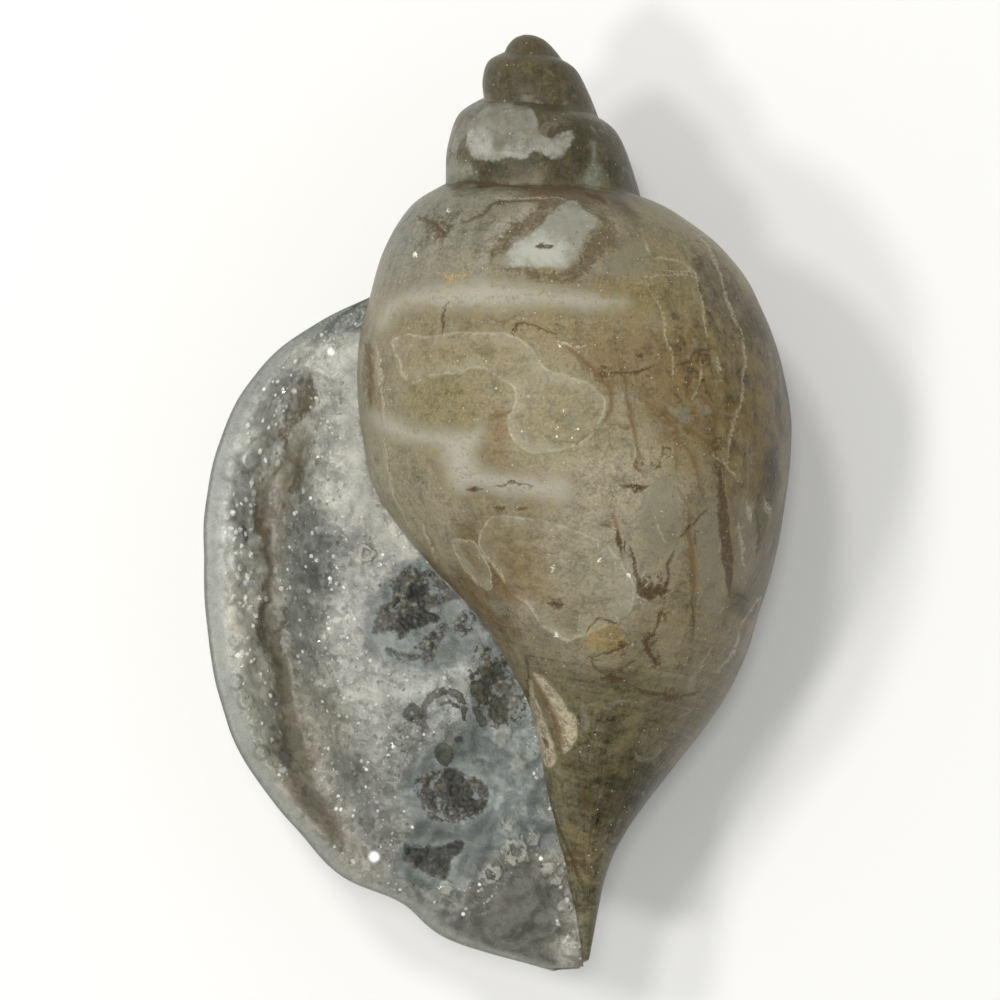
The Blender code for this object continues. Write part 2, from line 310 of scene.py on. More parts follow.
def body_outline(turns):
    """Marks down the body whorl, blended between the three outlines."""
    grown = (turns - 2.0)[:, None]
    shares = (
        (grown - 0.5) * (grown - 1.0) * 2.0,
        -4.0 * grown * (grown - 1.0),
        2.0 * grown * (grown - 0.5),
    )
    outlines = (AT_INNER_WALL, AT_RIGHT_SIDE, AT_OUTER_LIP)
    along = sum(share * outline[:, 0] for share, outline in zip(shares, outlines))
    radius = np.exp(sum(share * np.log(outline[:, 1]) for share, outline in zip(shares, outlines)))
    top = suture_at(turns)[:, None, :2]
    return np.concatenate([top, np.stack([along, radius], -1)], 1)


def shell_points(turns, outline):
    """Points of the surface from the distances along and radii of one outline for each turn."""
    angle = (math.tau * (turns - FACING_TURN))[:, None]
    along, radius = outline[..., 0], outline[..., 1]
    return np.stack([radius * np.sin(angle), along, radius * np.cos(angle)], -1)


def worn(points):
    """The points moved in or out a little from the axis, as an old surface is."""
    flat = points.reshape(-1, 3)
    large = [noise.noise(Vector(p) / WEAR_SIZE) for p in flat.tolist()]
    small = [noise.noise(Vector(p) / (WEAR_SIZE * 0.4)) for p in flat.tolist()]
    lump = np.array(large) + 0.4 * np.array(small)
    radius = np.hypot(flat[:, 0], flat[:, 2])
    scale = 1.0 + WEAR_DEPTH * np.minimum(1.0, radius / 4.0) * lump / np.maximum(radius, 0.1)
    return (flat * np.stack([scale, np.ones_like(scale), scale], -1)).reshape(points.shape)


def column_turns():
    """The turns at which the columns stand, from the apex to the lip."""
    front = np.linspace(0.0, FRONT_SHARE, FRONT_COLUMNS, endpoint=False)
    back = np.linspace(FRONT_SHARE, 1.0, BACK_COLUMNS, endpoint=False)
    shares = np.concatenate([front, back])
    whole = [start + shares for start in np.arange(FIRST_TURN, LIP_TURN)]
    return np.append(np.concatenate(whole), LIP_TURN), len(shares)


def coiled_grid():
    """The surface's points, and the numbers of the spire's and the body's points in columns.

    The last row of a spire column is the first row one turn later, so the band closes on itself.
    """
    turns, turn = column_turns()
    spire_places = np.arange(SPIRE_ROWS) * NEXT_SUTURE_MARK / SPIRE_ROWS
    below = (len(AT_INNER_WALL) - NEXT_SUTURE_MARK) * (np.arange(BODY_ROWS) + 1) / BODY_ROWS
    body_places = np.concatenate([spire_places, [NEXT_SUTURE_MARK], NEXT_SUTURE_MARK + below])
    in_spire, in_body = turns[: 3 * turn], turns[3 * turn :]
    spire = shell_points(in_spire, curve_through(spire_outline(in_spire), spire_places))
    body = shell_points(in_body, curve_through(body_outline(in_body), body_places))
    points = np.concatenate([worn(spire).reshape(-1, 3), worn(body).reshape(-1, 3)])
    spire_ids = np.arange(spire.shape[0] * SPIRE_ROWS).reshape(-1, SPIRE_ROWS)
    body_ids = spire_ids.size + np.arange(body.shape[0] * body.shape[1]).reshape(body.shape[:2])
    body_ids[0, SPIRE_ROWS] = body_ids[-1, 0]
    tops = np.concatenate([spire_ids[:, 0], body_ids[:, 0]])
    spire_ids = np.concatenate([spire_ids, body_ids[:1, :SPIRE_ROWS]])
    spire_ids = np.column_stack([spire_ids, tops[turn : turn + len(spire_ids)]])
    coil = np.concatenate([
        np.stack(np.broadcast_arrays(turns[:, None], places[None]), -1).reshape(-1, 2)
        for turns, places in ((in_spire, spire_places), (in_body, body_places))
    ])
    return points, coil, spire_ids, body_ids, turn


def grid_faces(ids):
    return np.stack([ids[:-1, :-1], ids[:-1, 1:], ids[1:, 1:], ids[1:, :-1]], -1).reshape(-1, 4).tolist()


def apex_faces(columns, turn):
    """The fan over the first turn, whose first column is a single edge."""
    top, last, first = columns[0, 0], columns[0, -1], columns[1]
    faces = [(top, lower, upper) for upper, lower in zip(first, first[1:])]
    faces.append((top, last, first[-1]))
    return faces + [(top, a[0], b[0]) for a, b in zip(columns[1:turn], columns[2 : turn + 1])]


def deepness(width):
    """How much of its full depth the mouth has where it's this wide."""
    return np.minimum(1.0, width / DEEP_WIDTH)


def crust_level(x, y):
    """Height of the crust's top above the mouth's edge, without lumps and crystals."""
    line = smooth_line(FURROW, steps=8)
    line = np.column_stack([line, np.linspace(0.0, 1.0, len(line))])
    away, _, place = near_line(np.column_stack([x, y]), line)
    ends = np.minimum(1.0, np.minimum(5.0 * place + 0.25, 4.0 * (1.0 - place) + 0.25))
    level = RIM_RISE - FURROW_DEPTH * ends * np.exp(-((away / FURROW_HALF_WIDTH) ** 2))
    across, along, half_width, half_length, height = SWELLING
    level += height * np.exp(-(((x - across) / half_width) ** 2) - ((y - along) / half_length) ** 2)
    for across, along, radius, depth in PITS:
        apart = ((x - across) ** 2 + (y - along) ** 2) / radius**2
        level -= depth * np.exp(-apart * apart)
    return level


def mouth_grid(lip, wall):
    """Points across the mouth from the lip's edge to the columella: the rim, then the floor."""
    wall_x = np.interp(lip[:, 1], wall[:, 1], wall[:, 0])
    width = wall_x - lip[:, 0]
    rim = np.minimum(RIM_WIDTH, NARROW_SHARE * width)
    columns = []
    for place, rise in RIM_PROFILE:
        columns.append(np.stack([lip[:, 0] + rim * place, lip[:, 1], lip[:, 2] + RIM_RISE * rise], -1))
    start = lip[:, 0] + rim * 1.6
    end = wall_x - np.minimum(0.5, 0.1 * width)
    deep = deepness(width)
    for share in np.linspace(0.0, 1.0, FLOOR_COLUMNS):
        x = start + (end - start) * share
        z = deep * (crust_level(x, lip[:, 1]) - FLOOR_DEPTH)
        columns.append(np.stack([x, lip[:, 1], z], -1))
    return np.stack(columns, 1)


def zip_faces(points, left, right):
    """Triangles between two lines of points, matched by their distance from the apex."""
    faces = []
    i = j = 0
    while i < len(left) - 1 or j < len(right) - 1:
        left_next = points[left[i + 1], 1] if i < len(left) - 1 else math.inf
        right_next = points[right[j + 1], 1] if j < len(right) - 1 else math.inf
        if left_next <= right_next:
            faces.append((left[i], left[i + 1], right[j]))
            i += 1
        else:
            faces.append((left[i], right[j + 1], right[j]))
            j += 1
    return faces


def cast_shape():
    """Points, faces, place on the coil, and the numbers of the lip's and the rim's points."""
    points, coil, spire, body, turn = coiled_grid()
    faces = grid_faces(spire[1:]) + grid_faces(body) + apex_faces(spire, turn)
    lip, wall = body[-1], body[0, SPIRE_ROWS:]
    mouth = mouth_grid(points[lip[1:]], points[wall])
    mouth_ids = len(points) + np.arange(mouth.shape[0] * mouth.shape[1]).reshape(mouth.shape[:2])
    rows = np.column_stack([lip[1:], mouth_ids])
    points = np.concatenate([points, mouth.reshape(-1, 3)])
    faces += grid_faces(rows)
    faces += [(lip[0], a, b) for a, b in zip(rows[0], rows[0][1:])]
    faces += zip_faces(points, rows[:, -1], wall)
    end = np.concatenate([body[:, -1], rows[-1][1:]])
    middle = points[end].mean(0) + (0, 0.15, 0)
    points = np.concatenate([points, middle[None]])
    centre = len(points) - 1
    faces += [(a, b, centre) for a, b in zip(end, np.roll(end, -1))]
    missing = len(points) - len(coil)
    coil = np.concatenate([coil, np.tile((LIP_TURN, 8.0), (missing, 1))])
    return points, faces, coil, lip, mouth_ids


def add_object(name, data):
    made = bpy.data.objects.new(name, data)
    bpy.context.scene.collection.objects.link(made)
    return made


def make_mesh(name, points, faces, finish):
    """A mesh object from points in the shell's millimetres, with loose points dropped."""
    used = np.zeros(len(points), bool)
    used[[i for face in faces for i in face]] = True
    number = (np.cumsum(used) - 1).tolist()
    faces = [tuple(number[i] for i in face) for face in faces]
    placed = in_frame(points[used])
    placed[:, 2] = np.maximum(placed[:, 2], 0.0)
    data = bpy.data.meshes.new(name)
    data.from_pydata(placed.tolist(), [], faces)
    mesh = bmesh.new()
    mesh.from_mesh(data)
    bmesh.ops.recalc_face_normals(mesh, faces=mesh.faces[:])
    mesh.to_mesh(data)
    mesh.free()
    data.materials.append(finish)
    return add_object(name, data), used


def add_vectors(data, name, *columns):
    made = data.attributes.new(name, "FLOAT_VECTOR", "POINT")
    made.data.foreach_set("vector", np.column_stack(columns).astype(np.float32).ravel())


def add_colours(data, name, values):
    made = data.color_attributes.new(name, "FLOAT_COLOR", "POINT")
    opaque = np.column_stack([values, np.ones(len(values))])
    made.data.foreach_set("color", np.asarray(opaque, np.float32).ravel())


# Markings of the cast, in pixels. The row of a closed outline is x, y, x, y and so on, and the row
# of a stroke is x, y, half width and so on. Windows are clear patches with a thin pale edge.
WINDOWS = (
    (392, 343, 405, 335, 427, 336, 457, 333, 493, 333, 513, 336, 528, 346, 537, 358, 549, 371, 570, 377,
     589, 385, 604, 400, 601, 419, 589, 438, 570, 448, 541, 452, 522, 448, 511, 433, 509, 417, 515, 402,
     513, 389, 499, 377, 480, 368, 457, 373, 430, 375, 413, 383, 402, 375, 398, 358),
    (479, 539, 487, 523, 499, 516, 529, 518, 556, 524, 581, 533, 604, 544, 617, 558, 629, 577, 634, 592,
     630, 610, 612, 622, 590, 632, 566, 640, 545, 628, 528, 606, 510, 590, 497, 570, 484, 552),
    (453, 542, 470, 541, 481, 552, 492, 575, 488, 590, 474, 580, 460, 562),
)

# Pale grey panels with a thin pale edge
PANELS = (
    (663, 468, 675, 477, 682, 506, 682, 527, 673, 554, 652, 558, 637, 535, 638, 502, 650, 483),
    (697, 515, 718, 500, 724, 560, 726, 600, 712, 630, 700, 600),
    (737, 500, 757, 505, 760, 555, 750, 585, 738, 590, 735, 540),
    (603, 262, 622, 248, 646, 241, 650, 268, 648, 276, 625, 280, 600, 275),
)

# White chalcedony: the four-sided patch on the shoulder, and the spire's band
WHITE_PATCHES = (
    (570, 199, 585, 209, 599, 222, 587, 235, 578, 257, 564, 270, 541, 268, 501, 264, 513, 245, 534, 232,
     551, 214),
    (466, 149, 465, 136, 470, 122, 480, 110, 495, 103, 515, 103, 530, 108, 538, 118, 540, 132, 548, 138,
     560, 134, 568, 129, 576, 138, 569, 146, 566, 156, 556, 160, 543, 154, 534, 151, 526, 158, 511, 160,
     495, 161, 475, 159),
)

# Where those patches are thickest and whitest
WHITE_CORES = (
    (502, 264, 510, 250, 524, 238, 538, 232, 552, 236, 566, 240, 573, 248, 569, 258, 562, 269, 541, 268,
     518, 266),
    (466, 145, 467, 131, 482, 129, 489, 140, 503, 147, 524, 149, 530, 153, 518, 160, 480, 160),
    (541, 147, 552, 144, 562, 147, 567, 151, 562, 159, 552, 159, 545, 154),
    (566, 131, 570, 129, 576, 137, 571, 143, 567, 138),
)

# Milky patches with ragged edges
MILK_TOP = (
    430, 288, 484, 283, 516, 285, 575, 292, 606, 296, 628, 302, 600, 308, 541, 306, 484, 308, 440, 306,
    417, 304, 395, 312, 384, 330, 380, 318, 390, 302, 410, 292,
)
MILK_MIDDLE = (
    375, 412, 395, 420, 420, 430, 450, 433, 478, 430, 480, 440, 474, 455, 478, 466, 491, 472, 530, 477,
    564, 481, 568, 498, 543, 498, 505, 493, 472, 487, 464, 493, 449, 483, 443, 460, 438, 447, 410, 440,
    385, 434, 374, 425,
)
MILK_SHOULDER = (
    (400, 212, 425, 196, 455, 190, 485, 188, 513, 191, 505, 201, 486, 207, 468, 216, 450, 223, 425, 221,
     408, 222),
    (466, 300, 470, 276, 478, 254, 490, 234, 506, 214, 528, 203, 538, 206, 528, 216, 512, 228, 500, 240,
     492, 256, 488, 276, 490, 296),
)
GREY_SHOULDER = (
    384, 290, 390, 250, 404, 226, 425, 236, 452, 232,
    474, 236, 466, 262, 458, 290, 430, 292, 400, 298,
)
OLIVE = (398, 392, 430, 386, 470, 392, 486, 404, 480, 420, 450, 424, 415, 416, 398, 408)
SPIRE_PALE = (
    (449, 150, 455, 130, 468, 115, 478, 105, 470, 122, 462, 140, 458, 152),
    (448, 160, 458, 156, 470, 165, 474, 176, 455, 178, 447, 175),
)
SPIRE_STREAK = (589, 136, 596, 145, 600, 165, 604, 182, 585, 180, 592, 165, 590, 150)

# Brown stains with soft edges
BROWN_BY_WHITE = (
    (560, 201, 551, 212, 534, 228, 513, 240, 503, 252, 494, 256, 490, 250, 500, 238, 515, 222, 535, 208,
     548, 198),
    (599, 214, 612, 222, 615, 240, 600, 258, 585, 275, 570, 284, 540, 280, 516, 273, 508, 267, 541, 270,
     566, 272, 580, 259, 589, 237, 601, 224),
)
BROWN_AT_SUTURE = (528, 187, 560, 186, 602, 192, 612, 200, 580, 202, 555, 199, 530, 199)
BROWN_LEFT = (365, 345, 372, 350, 371, 406, 366, 400)
BROWN_MIDDLE = (
    (490, 415, 505, 408, 510, 440, 508, 465, 488, 462, 484, 448),
    (490, 560, 510, 548, 535, 550, 552, 575, 552, 600, 530, 612, 508, 600, 495, 580),
)
BROWN_FAINT = (
    575, 345, 600, 340, 650, 330, 690, 340, 700, 370,
    690, 400, 650, 420, 640, 395, 620, 385, 600, 380,
)
SMOKE = (698, 262, 720, 262, 745, 300, 752, 330, 738, 325, 715, 318, 700, 300)
GOLD = (590, 625, 605, 619, 620, 622, 625, 640, 612, 652, 592, 652, 583, 640)
RUST = (566, 827, 580, 825, 592, 835, 596, 860, 592, 892, 582, 885, 573, 862)
EDGE_DARK = (624, 800, 640, 780, 668, 770, 668, 790, 650, 815, 630, 845, 618, 850, 616, 825)
FOLDS = (
    (528, 680, 534, 690, 540, 705, 548, 728, 553, 742, 556, 760, 548, 768, 540, 760, 534, 745, 531, 715),
    (533, 672, 545, 678, 558, 696, 570, 710, 578, 723, 577, 740, 566, 754, 561, 745, 556, 723, 546, 700,
     536, 684),
)
ORANGE = (
    (441, 274, 1.2, 450, 277, 2, 462, 275, 2, 470, 274, 0.8),
    (452, 277, 1.5, 448, 285, 1.4, 446, 290, 0.8),
)

# Dark cracks: x, y, half width
DARK_STROKES = (
    (446, 304, 0.8, 444, 318, 1.2, 442, 331, 0.8),
    (514, 333, 0.8, 517, 326, 1.3, 524, 323, 0.8, 534, 326, 0.8, 545, 329, 0.6, 555, 333, 0.6),
    (614, 373, 0.8, 634, 373, 1.1, 646, 369, 1.1, 654, 366, 0.7),
    (678, 364, 0.8, 689, 362, 1.1, 693, 355, 1.1, 701, 350, 1.2, 708, 349, 0.8),
    (624, 486, 1.4, 631, 486, 1.8, 643, 488, 2.4, 646, 487, 1),
    (617, 534, 1.2, 619, 541, 3, 621, 547, 1.4),
    (630, 548, 0.8, 634, 564, 1.8, 637, 580, 2.4, 641, 590, 4, 648, 594, 5, 656, 590, 4.5, 664, 592, 3.4,
     670, 580, 1.4, 668, 567, 1.3, 673, 555, 0.9),
    (720, 462, 1, 721, 485, 2.4, 722, 505, 4.2, 726, 540, 5, 728, 565, 4.6, 729, 582, 3.4, 730, 597, 1),
    (693, 603, 0.7, 693, 618, 1, 693, 634, 0.7),
    (681, 536, 0.8, 692, 525, 1, 705, 512, 0.8),
    (696, 535, 0.8, 696, 544, 0.8),
    (733, 593, 0.7, 746, 598, 0.9),
    (756, 512, 1, 759, 537, 1.5, 757, 554, 0.9),
    (590, 629, 0.7, 599, 619, 0.9, 614, 623, 0.9),
    (590, 657, 0.7, 610, 652, 1.2, 620, 648, 2, 627, 644, 0.9),
    (590, 659, 0.7, 599, 671, 0.6, 617, 671, 0.5, 633, 662, 0.7),
    (604, 678, 0.8, 614, 679, 1.8, 624, 678, 0.9),
    (625, 685, 0.8, 650, 693, 1.5, 668, 696, 2.2, 684, 695, 1.7, 697, 692, 0.8),
    (658, 618, 1.6, 654, 634, 1, 646, 643, 2, 649, 653, 2.2, 657, 664, 1.2),
    (422, 219, 1.6, 432, 222, 2.4, 440, 230, 2, 446, 236, 0.8),
    (532, 201, 0.6, 514, 202, 0.9, 497, 203, 1.2, 487, 211, 1.2, 474, 219, 0.8, 466, 222, 0.5),
    (470, 489, 1.6, 474, 489, 2.4, 478, 489, 0.8),
    (497, 485, 0.5, 515, 484, 0.8, 531, 486, 0.5),
    (498, 509, 1.3, 503, 509, 1.3),
    (520, 509, 1, 525, 509, 1),
    (553, 603, 2.4, 559, 605, 2.6),
    (541, 245, 3, 549, 246, 2.4),
    (544, 741, 1.8, 546, 745, 1.8),
    (527, 659, 0.6, 528, 690, 1.2, 527, 720, 0.8),
    (537, 760, 0.8, 542, 786, 1.4, 547, 800, 1.6, 559, 828, 1.2, 572, 861, 1.2, 582, 886, 1,
     590, 902, 0.8),
    (441, 185, 1, 470, 184, 1.6, 500, 185, 1.4, 524, 187, 0.8),
    (586, 194, 0.8, 597, 197, 1.5, 606, 203, 0.8),
)

# Soft reddish-brown fibres: x, y, half width
FIBRES = (
    (568, 349, 1.6, 581, 359, 2.6, 595, 372, 3, 607, 386, 2),
    (611, 375, 1.5, 611, 392, 2, 610, 408, 2.8, 604, 422, 1.2),
    (624, 377, 1.5, 629, 405, 2, 633, 426, 1.8, 638, 450, 1.8, 643, 460, 1),
    (615, 424, 0.8, 627, 429, 1),
    (636, 459, 1.4, 637, 468, 1.8, 641, 473, 1.2),
    (637, 397, 0.6, 665, 416, 0.9, 678, 436, 0.8),
    (660, 407, 0.6, 676, 421, 1, 690, 434, 0.6),
    (678, 438, 1, 692, 457, 1.8, 697, 475, 1.5, 704, 496, 0.8),
    (686, 426, 0.6, 710, 445, 1.1, 718, 460, 0.8),
    (676, 449, 0.8, 676, 470, 0.8),
    (678, 488, 0.8, 688, 511, 1.3, 689, 530, 2, 691, 556, 2.8, 692, 580, 2.8, 693, 600, 1.2),
    (614, 512, 1, 616, 532, 1.8, 620, 545, 1.8, 622, 558, 1),
    (598, 525, 0.6, 610, 525, 0.8),
    (531, 676, 1.2, 545, 700, 2.4, 556, 722, 2.8, 563, 742, 2),
    (470, 592, 0.8, 481, 603, 1.2, 493, 615, 0.8),
    (552, 441, 0.6, 575, 443, 1.2, 586, 436, 1),
    (492, 420, 0.8, 502, 414, 2, 512, 412, 1),
    (700, 395, 0.6, 712, 410, 1, 716, 440, 0.8),
    (366, 348, 1.6, 371, 375, 2.2, 370, 404, 1.4),
    (490, 318, 0.8, 500, 322, 1.4, 512, 318, 0.8),
)

# Crumbs of dark growth gather here: x, y, radius
CRUMBS = (
    (639, 355, 7), (704, 360, 11), (718, 444, 10), (719, 468, 10), (666, 450, 8), (656, 465, 8),
    (638, 466, 7), (638, 487, 9), (655, 588, 20), (663, 614, 8), (650, 640, 11), (655, 660, 10),
    (620, 648, 9), (612, 678, 9), (670, 695, 12), (438, 228, 18), (556, 604, 9), (604, 372, 9),
    (728, 290, 16), (745, 330, 16), (548, 740, 9), (575, 860, 16), (590, 800, 14), (545, 790, 10),
    (700, 262, 12), (500, 205, 7), (458, 192, 10), (600, 196, 10), (520, 415, 6), (470, 489, 6),
)

# Bright glints of small crystal faces under the surface: x, y, radius
SPARKS = (
    (522, 431, 4), (557, 429, 5), (576, 429, 5), (556, 437, 5), (572, 437, 4), (564, 410, 4),
    (529, 396, 4), (495, 389, 4), (486, 361, 4), (553, 568, 6), (600, 560, 5), (629, 576, 5),
    (598, 545, 4), (556, 636, 5), (415, 255, 5), (449, 211, 5), (560, 345, 4),
)

# Where the colour is most mottled: x, y, half sizes
MURK = (
    (765, 400, 40, 150), (735, 260, 50, 60),
    (600, 780, 70, 90), (560, 860, 60, 80), (700, 350, 40, 50), (440, 225, 40, 22),
)

# Pale veins: x, y, half width
PALE_STROKES = (
    (694, 233, 0.8, 706, 243, 1.3, 717, 265, 1.3, 722, 283, 1, 728, 304, 1.4, 734, 318, 1, 741, 332, 0.9,
     744, 362, 0.9, 741, 402, 0.9, 732, 424, 0.9, 727, 466, 0.7),
    (656, 258, 0.8, 678, 261, 0.9, 694, 273, 1.3, 699, 290, 1, 704, 314, 0.9, 706, 338, 0.8),
    (645, 276, 0.6, 650, 290, 0.8, 661, 309, 0.8, 666, 343, 1.4, 672, 353, 1, 672, 376, 0.6),
    (640, 282, 0.6, 655, 276, 0.8, 675, 274, 0.8, 690, 275, 0.8),
    (645, 245, 1.3, 650, 253, 1),
    (759, 598, 0.8, 741, 626, 1, 735, 649, 1.2, 716, 673, 0.7),
    (710, 650, 0.6, 700, 669, 0.7),
    (552, 630, 1.2, 564, 638, 1.4),
    (384, 440, 0.6, 390, 480, 0.8, 398, 505, 0.8, 412, 530, 0.6),
    (424, 528, 1.3, 430, 545, 1.3, 437, 562, 1),
    (497, 199, 0.5, 530, 198, 0.8, 563, 199, 0.5),
    (376, 346, 0.8, 378, 362, 2, 380, 380, 2, 384, 417, 0.8),
    (738, 525, 1.3, 742, 545, 1.8, 744, 563, 1),
    (748, 507, 3, 750, 520, 2),
    (766, 503, 2.6, 768, 511, 2),
    (700, 362, 0.7, 701, 380, 0.8, 693, 397, 0.7),
    (717, 361, 1.6, 719, 369, 1.6),
    (716, 457, 0.7, 725, 465, 0.8, 737, 479, 0.7),
    (656, 525, 0.8, 664, 540, 0.6),
    (560, 343, 0.8, 572, 347, 1.6, 584, 346, 0.8),
)

# The unseen back has markings of the same kinds, as if seen through the stone
BACK_WINDOWS = (
    (560, 330, 610, 318, 660, 336, 690, 380, 672, 430, 620, 446, 570, 420, 548, 372),
    (300, 470, 345, 452, 390, 476, 400, 530, 372, 575, 325, 580, 292, 535),
    (440, 560, 500, 548, 548, 580, 556, 640, 515, 672, 460, 650, 432, 605),
)
BACK_PANELS = (
    (420, 300, 470, 288, 492, 330, 470, 392, 430, 400, 408, 350),
    (640, 520, 680, 512, 700, 560, 684, 620, 650, 610, 634, 566),
)
BACK_DARK = (
    (520, 260, 1, 540, 330, 2.4, 530, 420, 1.6, 548, 500, 1),
    (360, 380, 1, 330, 430, 1.8, 316, 500, 1.2),
    (600, 480, 1, 612, 540, 3, 604, 600, 2, 618, 650, 1),
    (280, 600, 1, 330, 640, 2, 390, 650, 1),
)
BACK_PALE = (
    (250, 440, 0.8, 290, 420, 1.2, 350, 412, 1, 430, 430, 0.8),
    (470, 450, 0.8, 500, 520, 1.2, 560, 540, 1, 640, 500, 0.8),
    (380, 700, 0.8, 430, 720, 1.2, 500, 716, 0.8),
)

# Broad colours of the cast: middle, half sizes, colour
CAST_ZONES = (
    (530, 48, 36, 12, (84, 77, 54)),
    (535, 85, 60, 26, (76, 71, 51)),
    (530, 160, 110, 26, (66, 62, 44)),
    (430, 225, 60, 40, (114, 113, 97)),
    (540, 230, 60, 40, (128, 121, 101)),
    (690, 235, 70, 40, (127, 117, 84)),
    (448, 272, 26, 13, (148, 141, 115)),
    (440, 330, 70, 50, (129, 118, 92)),
    (600, 330, 80, 40, (130, 117, 86)),
    (520, 410, 100, 60, (133, 124, 95)),
    (640, 300, 40, 30, (128, 117, 80)),
    (700, 390, 45, 80, (115, 100, 66)),
    (748, 320, 18, 50, (92, 80, 52)),
    (755, 450, 18, 60, (102, 84, 42)),
    # The right edge: the stone's own dark olive-brown, made darker still as painted shade where the body
    # turns away from the light
    (787, 420, 18, 200, (58, 50, 30)),
    (752, 555, 14, 40, (88, 79, 50)),
    # The spire's right side: its own dark colour, with painted shade where it turns away from the light
    (624, 165, 14, 36, (62, 57, 36)),
    (610, 480, 60, 60, (154, 145, 121)),
    (372, 460, 16, 140, (139, 133, 110)),
    (430, 510, 40, 40, (135, 127, 103)),
    (480, 570, 50, 60, (100, 84, 55)),
    (590, 570, 60, 50, (144, 138, 119)),
    (700, 590, 60, 60, (123, 112, 84)),
    # The lower right edge: its own dark colour, with painted shade where it turns away from the light
    (756, 630, 14, 60, (72, 66, 44)),
    (640, 720, 90, 50, (97, 90, 64)),
    (622, 785, 30, 40, (69, 65, 43)),
    (592, 860, 24, 60, (94, 90, 68)),
    (280, 560, 70, 240, (139, 136, 120)),
)


def oval_gap(spots, x, y, half_width, half_height):
    """Squared distance from an oval's middle, 1 on the oval."""
    return ((spots[:, 0] - x) / half_width) ** 2 + ((spots[:, 1] - y) / half_height) ** 2


def blend_zones(spots, zones):
    """Colours from broad zones that run into each other."""
    total = np.zeros((len(spots), 3))
    weight = np.zeros(len(spots))
    for *oval, colour in zones:
        share = 1.0 / (0.02 + oval_gap(spots, *oval) ** 1.5)
        total += share[:, None] * light(colour)
        weight += share
    return total / weight[:, None]


def lay_over(tone, *layers):
    """The tone with each layer's colour laid over it by the layer's share at each point."""
    for colour, share in layers:
        tone = tone + (light(colour) - tone) * share[:, None]
    return tone


def soft(spots, outlines, softness):
    """1 inside the outlines, 0 outside, over an edge that is softness pixels to each side."""
    return step(outline_gap(spots, outlines), softness, -softness)


def cast_tone(points, spots, front):
    """Soft colours of the cast at its points."""
    drifting = spots + 34.0 * clouds(points, 5.0, 4, 3.1, 9.7)
    ragged = spots + 9.0 * clouds(points, 1.8, 3, 5.3, 1.9)
    tone = blend_zones(drifting, CAST_ZONES)
    behind = 1.0 - front
    layers = (
        ((BROWN_FAINT,), 12, (116, 95, 64), 0.4),
        ((GREY_SHOULDER,), 9, (124, 123, 109), 0.6),
        (MILK_SHOULDER[:1], 5, (119, 118, 101), 0.75),
        (MILK_SHOULDER[1:], 5, (146, 144, 127), 0.75),
        ((OLIVE,), 7, (126, 117, 78), 0.4),
        ((BROWN_AT_SUTURE,), 5, (92, 72, 50), 0.7),
        ((SMOKE,), 8, (92, 82, 64), 0.6),
        ((SPIRE_STREAK,), 4, (122, 126, 112), 0.7),
        ((GOLD,), 3, (146, 124, 74), 0.6),
        ((RUST,), 6, (100, 80, 50), 0.35),
        ((EDGE_DARK,), 6, (58, 54, 38), 0.7),
        (SPIRE_PALE, 4, (130, 130, 116), 0.75),
        (BROWN_MIDDLE, 7, (122, 100, 66), 0.5),
    )
    for outlines, softness, colour, share in layers:
        tone = lay_over(tone, (colour, front * share * soft(ragged, outlines, softness)))
    bands = cloud(points * np.array((1.0, 2.4, 1.0)), 7.0, 4, 12.0)
    return lay_over(
        tone,
        ((170, 167, 146), behind * 0.6 * step(bands, 0.12, 0.42)),
        ((112, 94, 66), behind * 0.5 * step(bands, -0.15, -0.45)),
    )


def spread_share(spots, zones):
    """1 in the middle of the nearest zone (x, y, half sizes) and 0 well outside it."""
    share = np.zeros(len(spots))
    for oval in zones:
        share = np.maximum(share, step(oval_gap(spots, *oval), 1.8, 0.3))
    return share


def paint_lip(tone, coil, lip, mouth):
    """The tone with the grey-green outer edge of the lip and the pale band inside it."""
    outer = step(LIP_TURN - coil[:, 0], 0.035, 0.0)
    pale = np.zeros(len(tone))
    pale[mouth[:, 2:]] = 1.0
    edge = np.zeros(len(tone))
    edge[mouth[:, :2]] = (0.95, 0.6)
    edge[lip] = 1.0
    return lay_over(tone, ((123, 128, 120), 0.85 * outer), ((134, 138, 130), pale), ((124, 129, 122), edge))


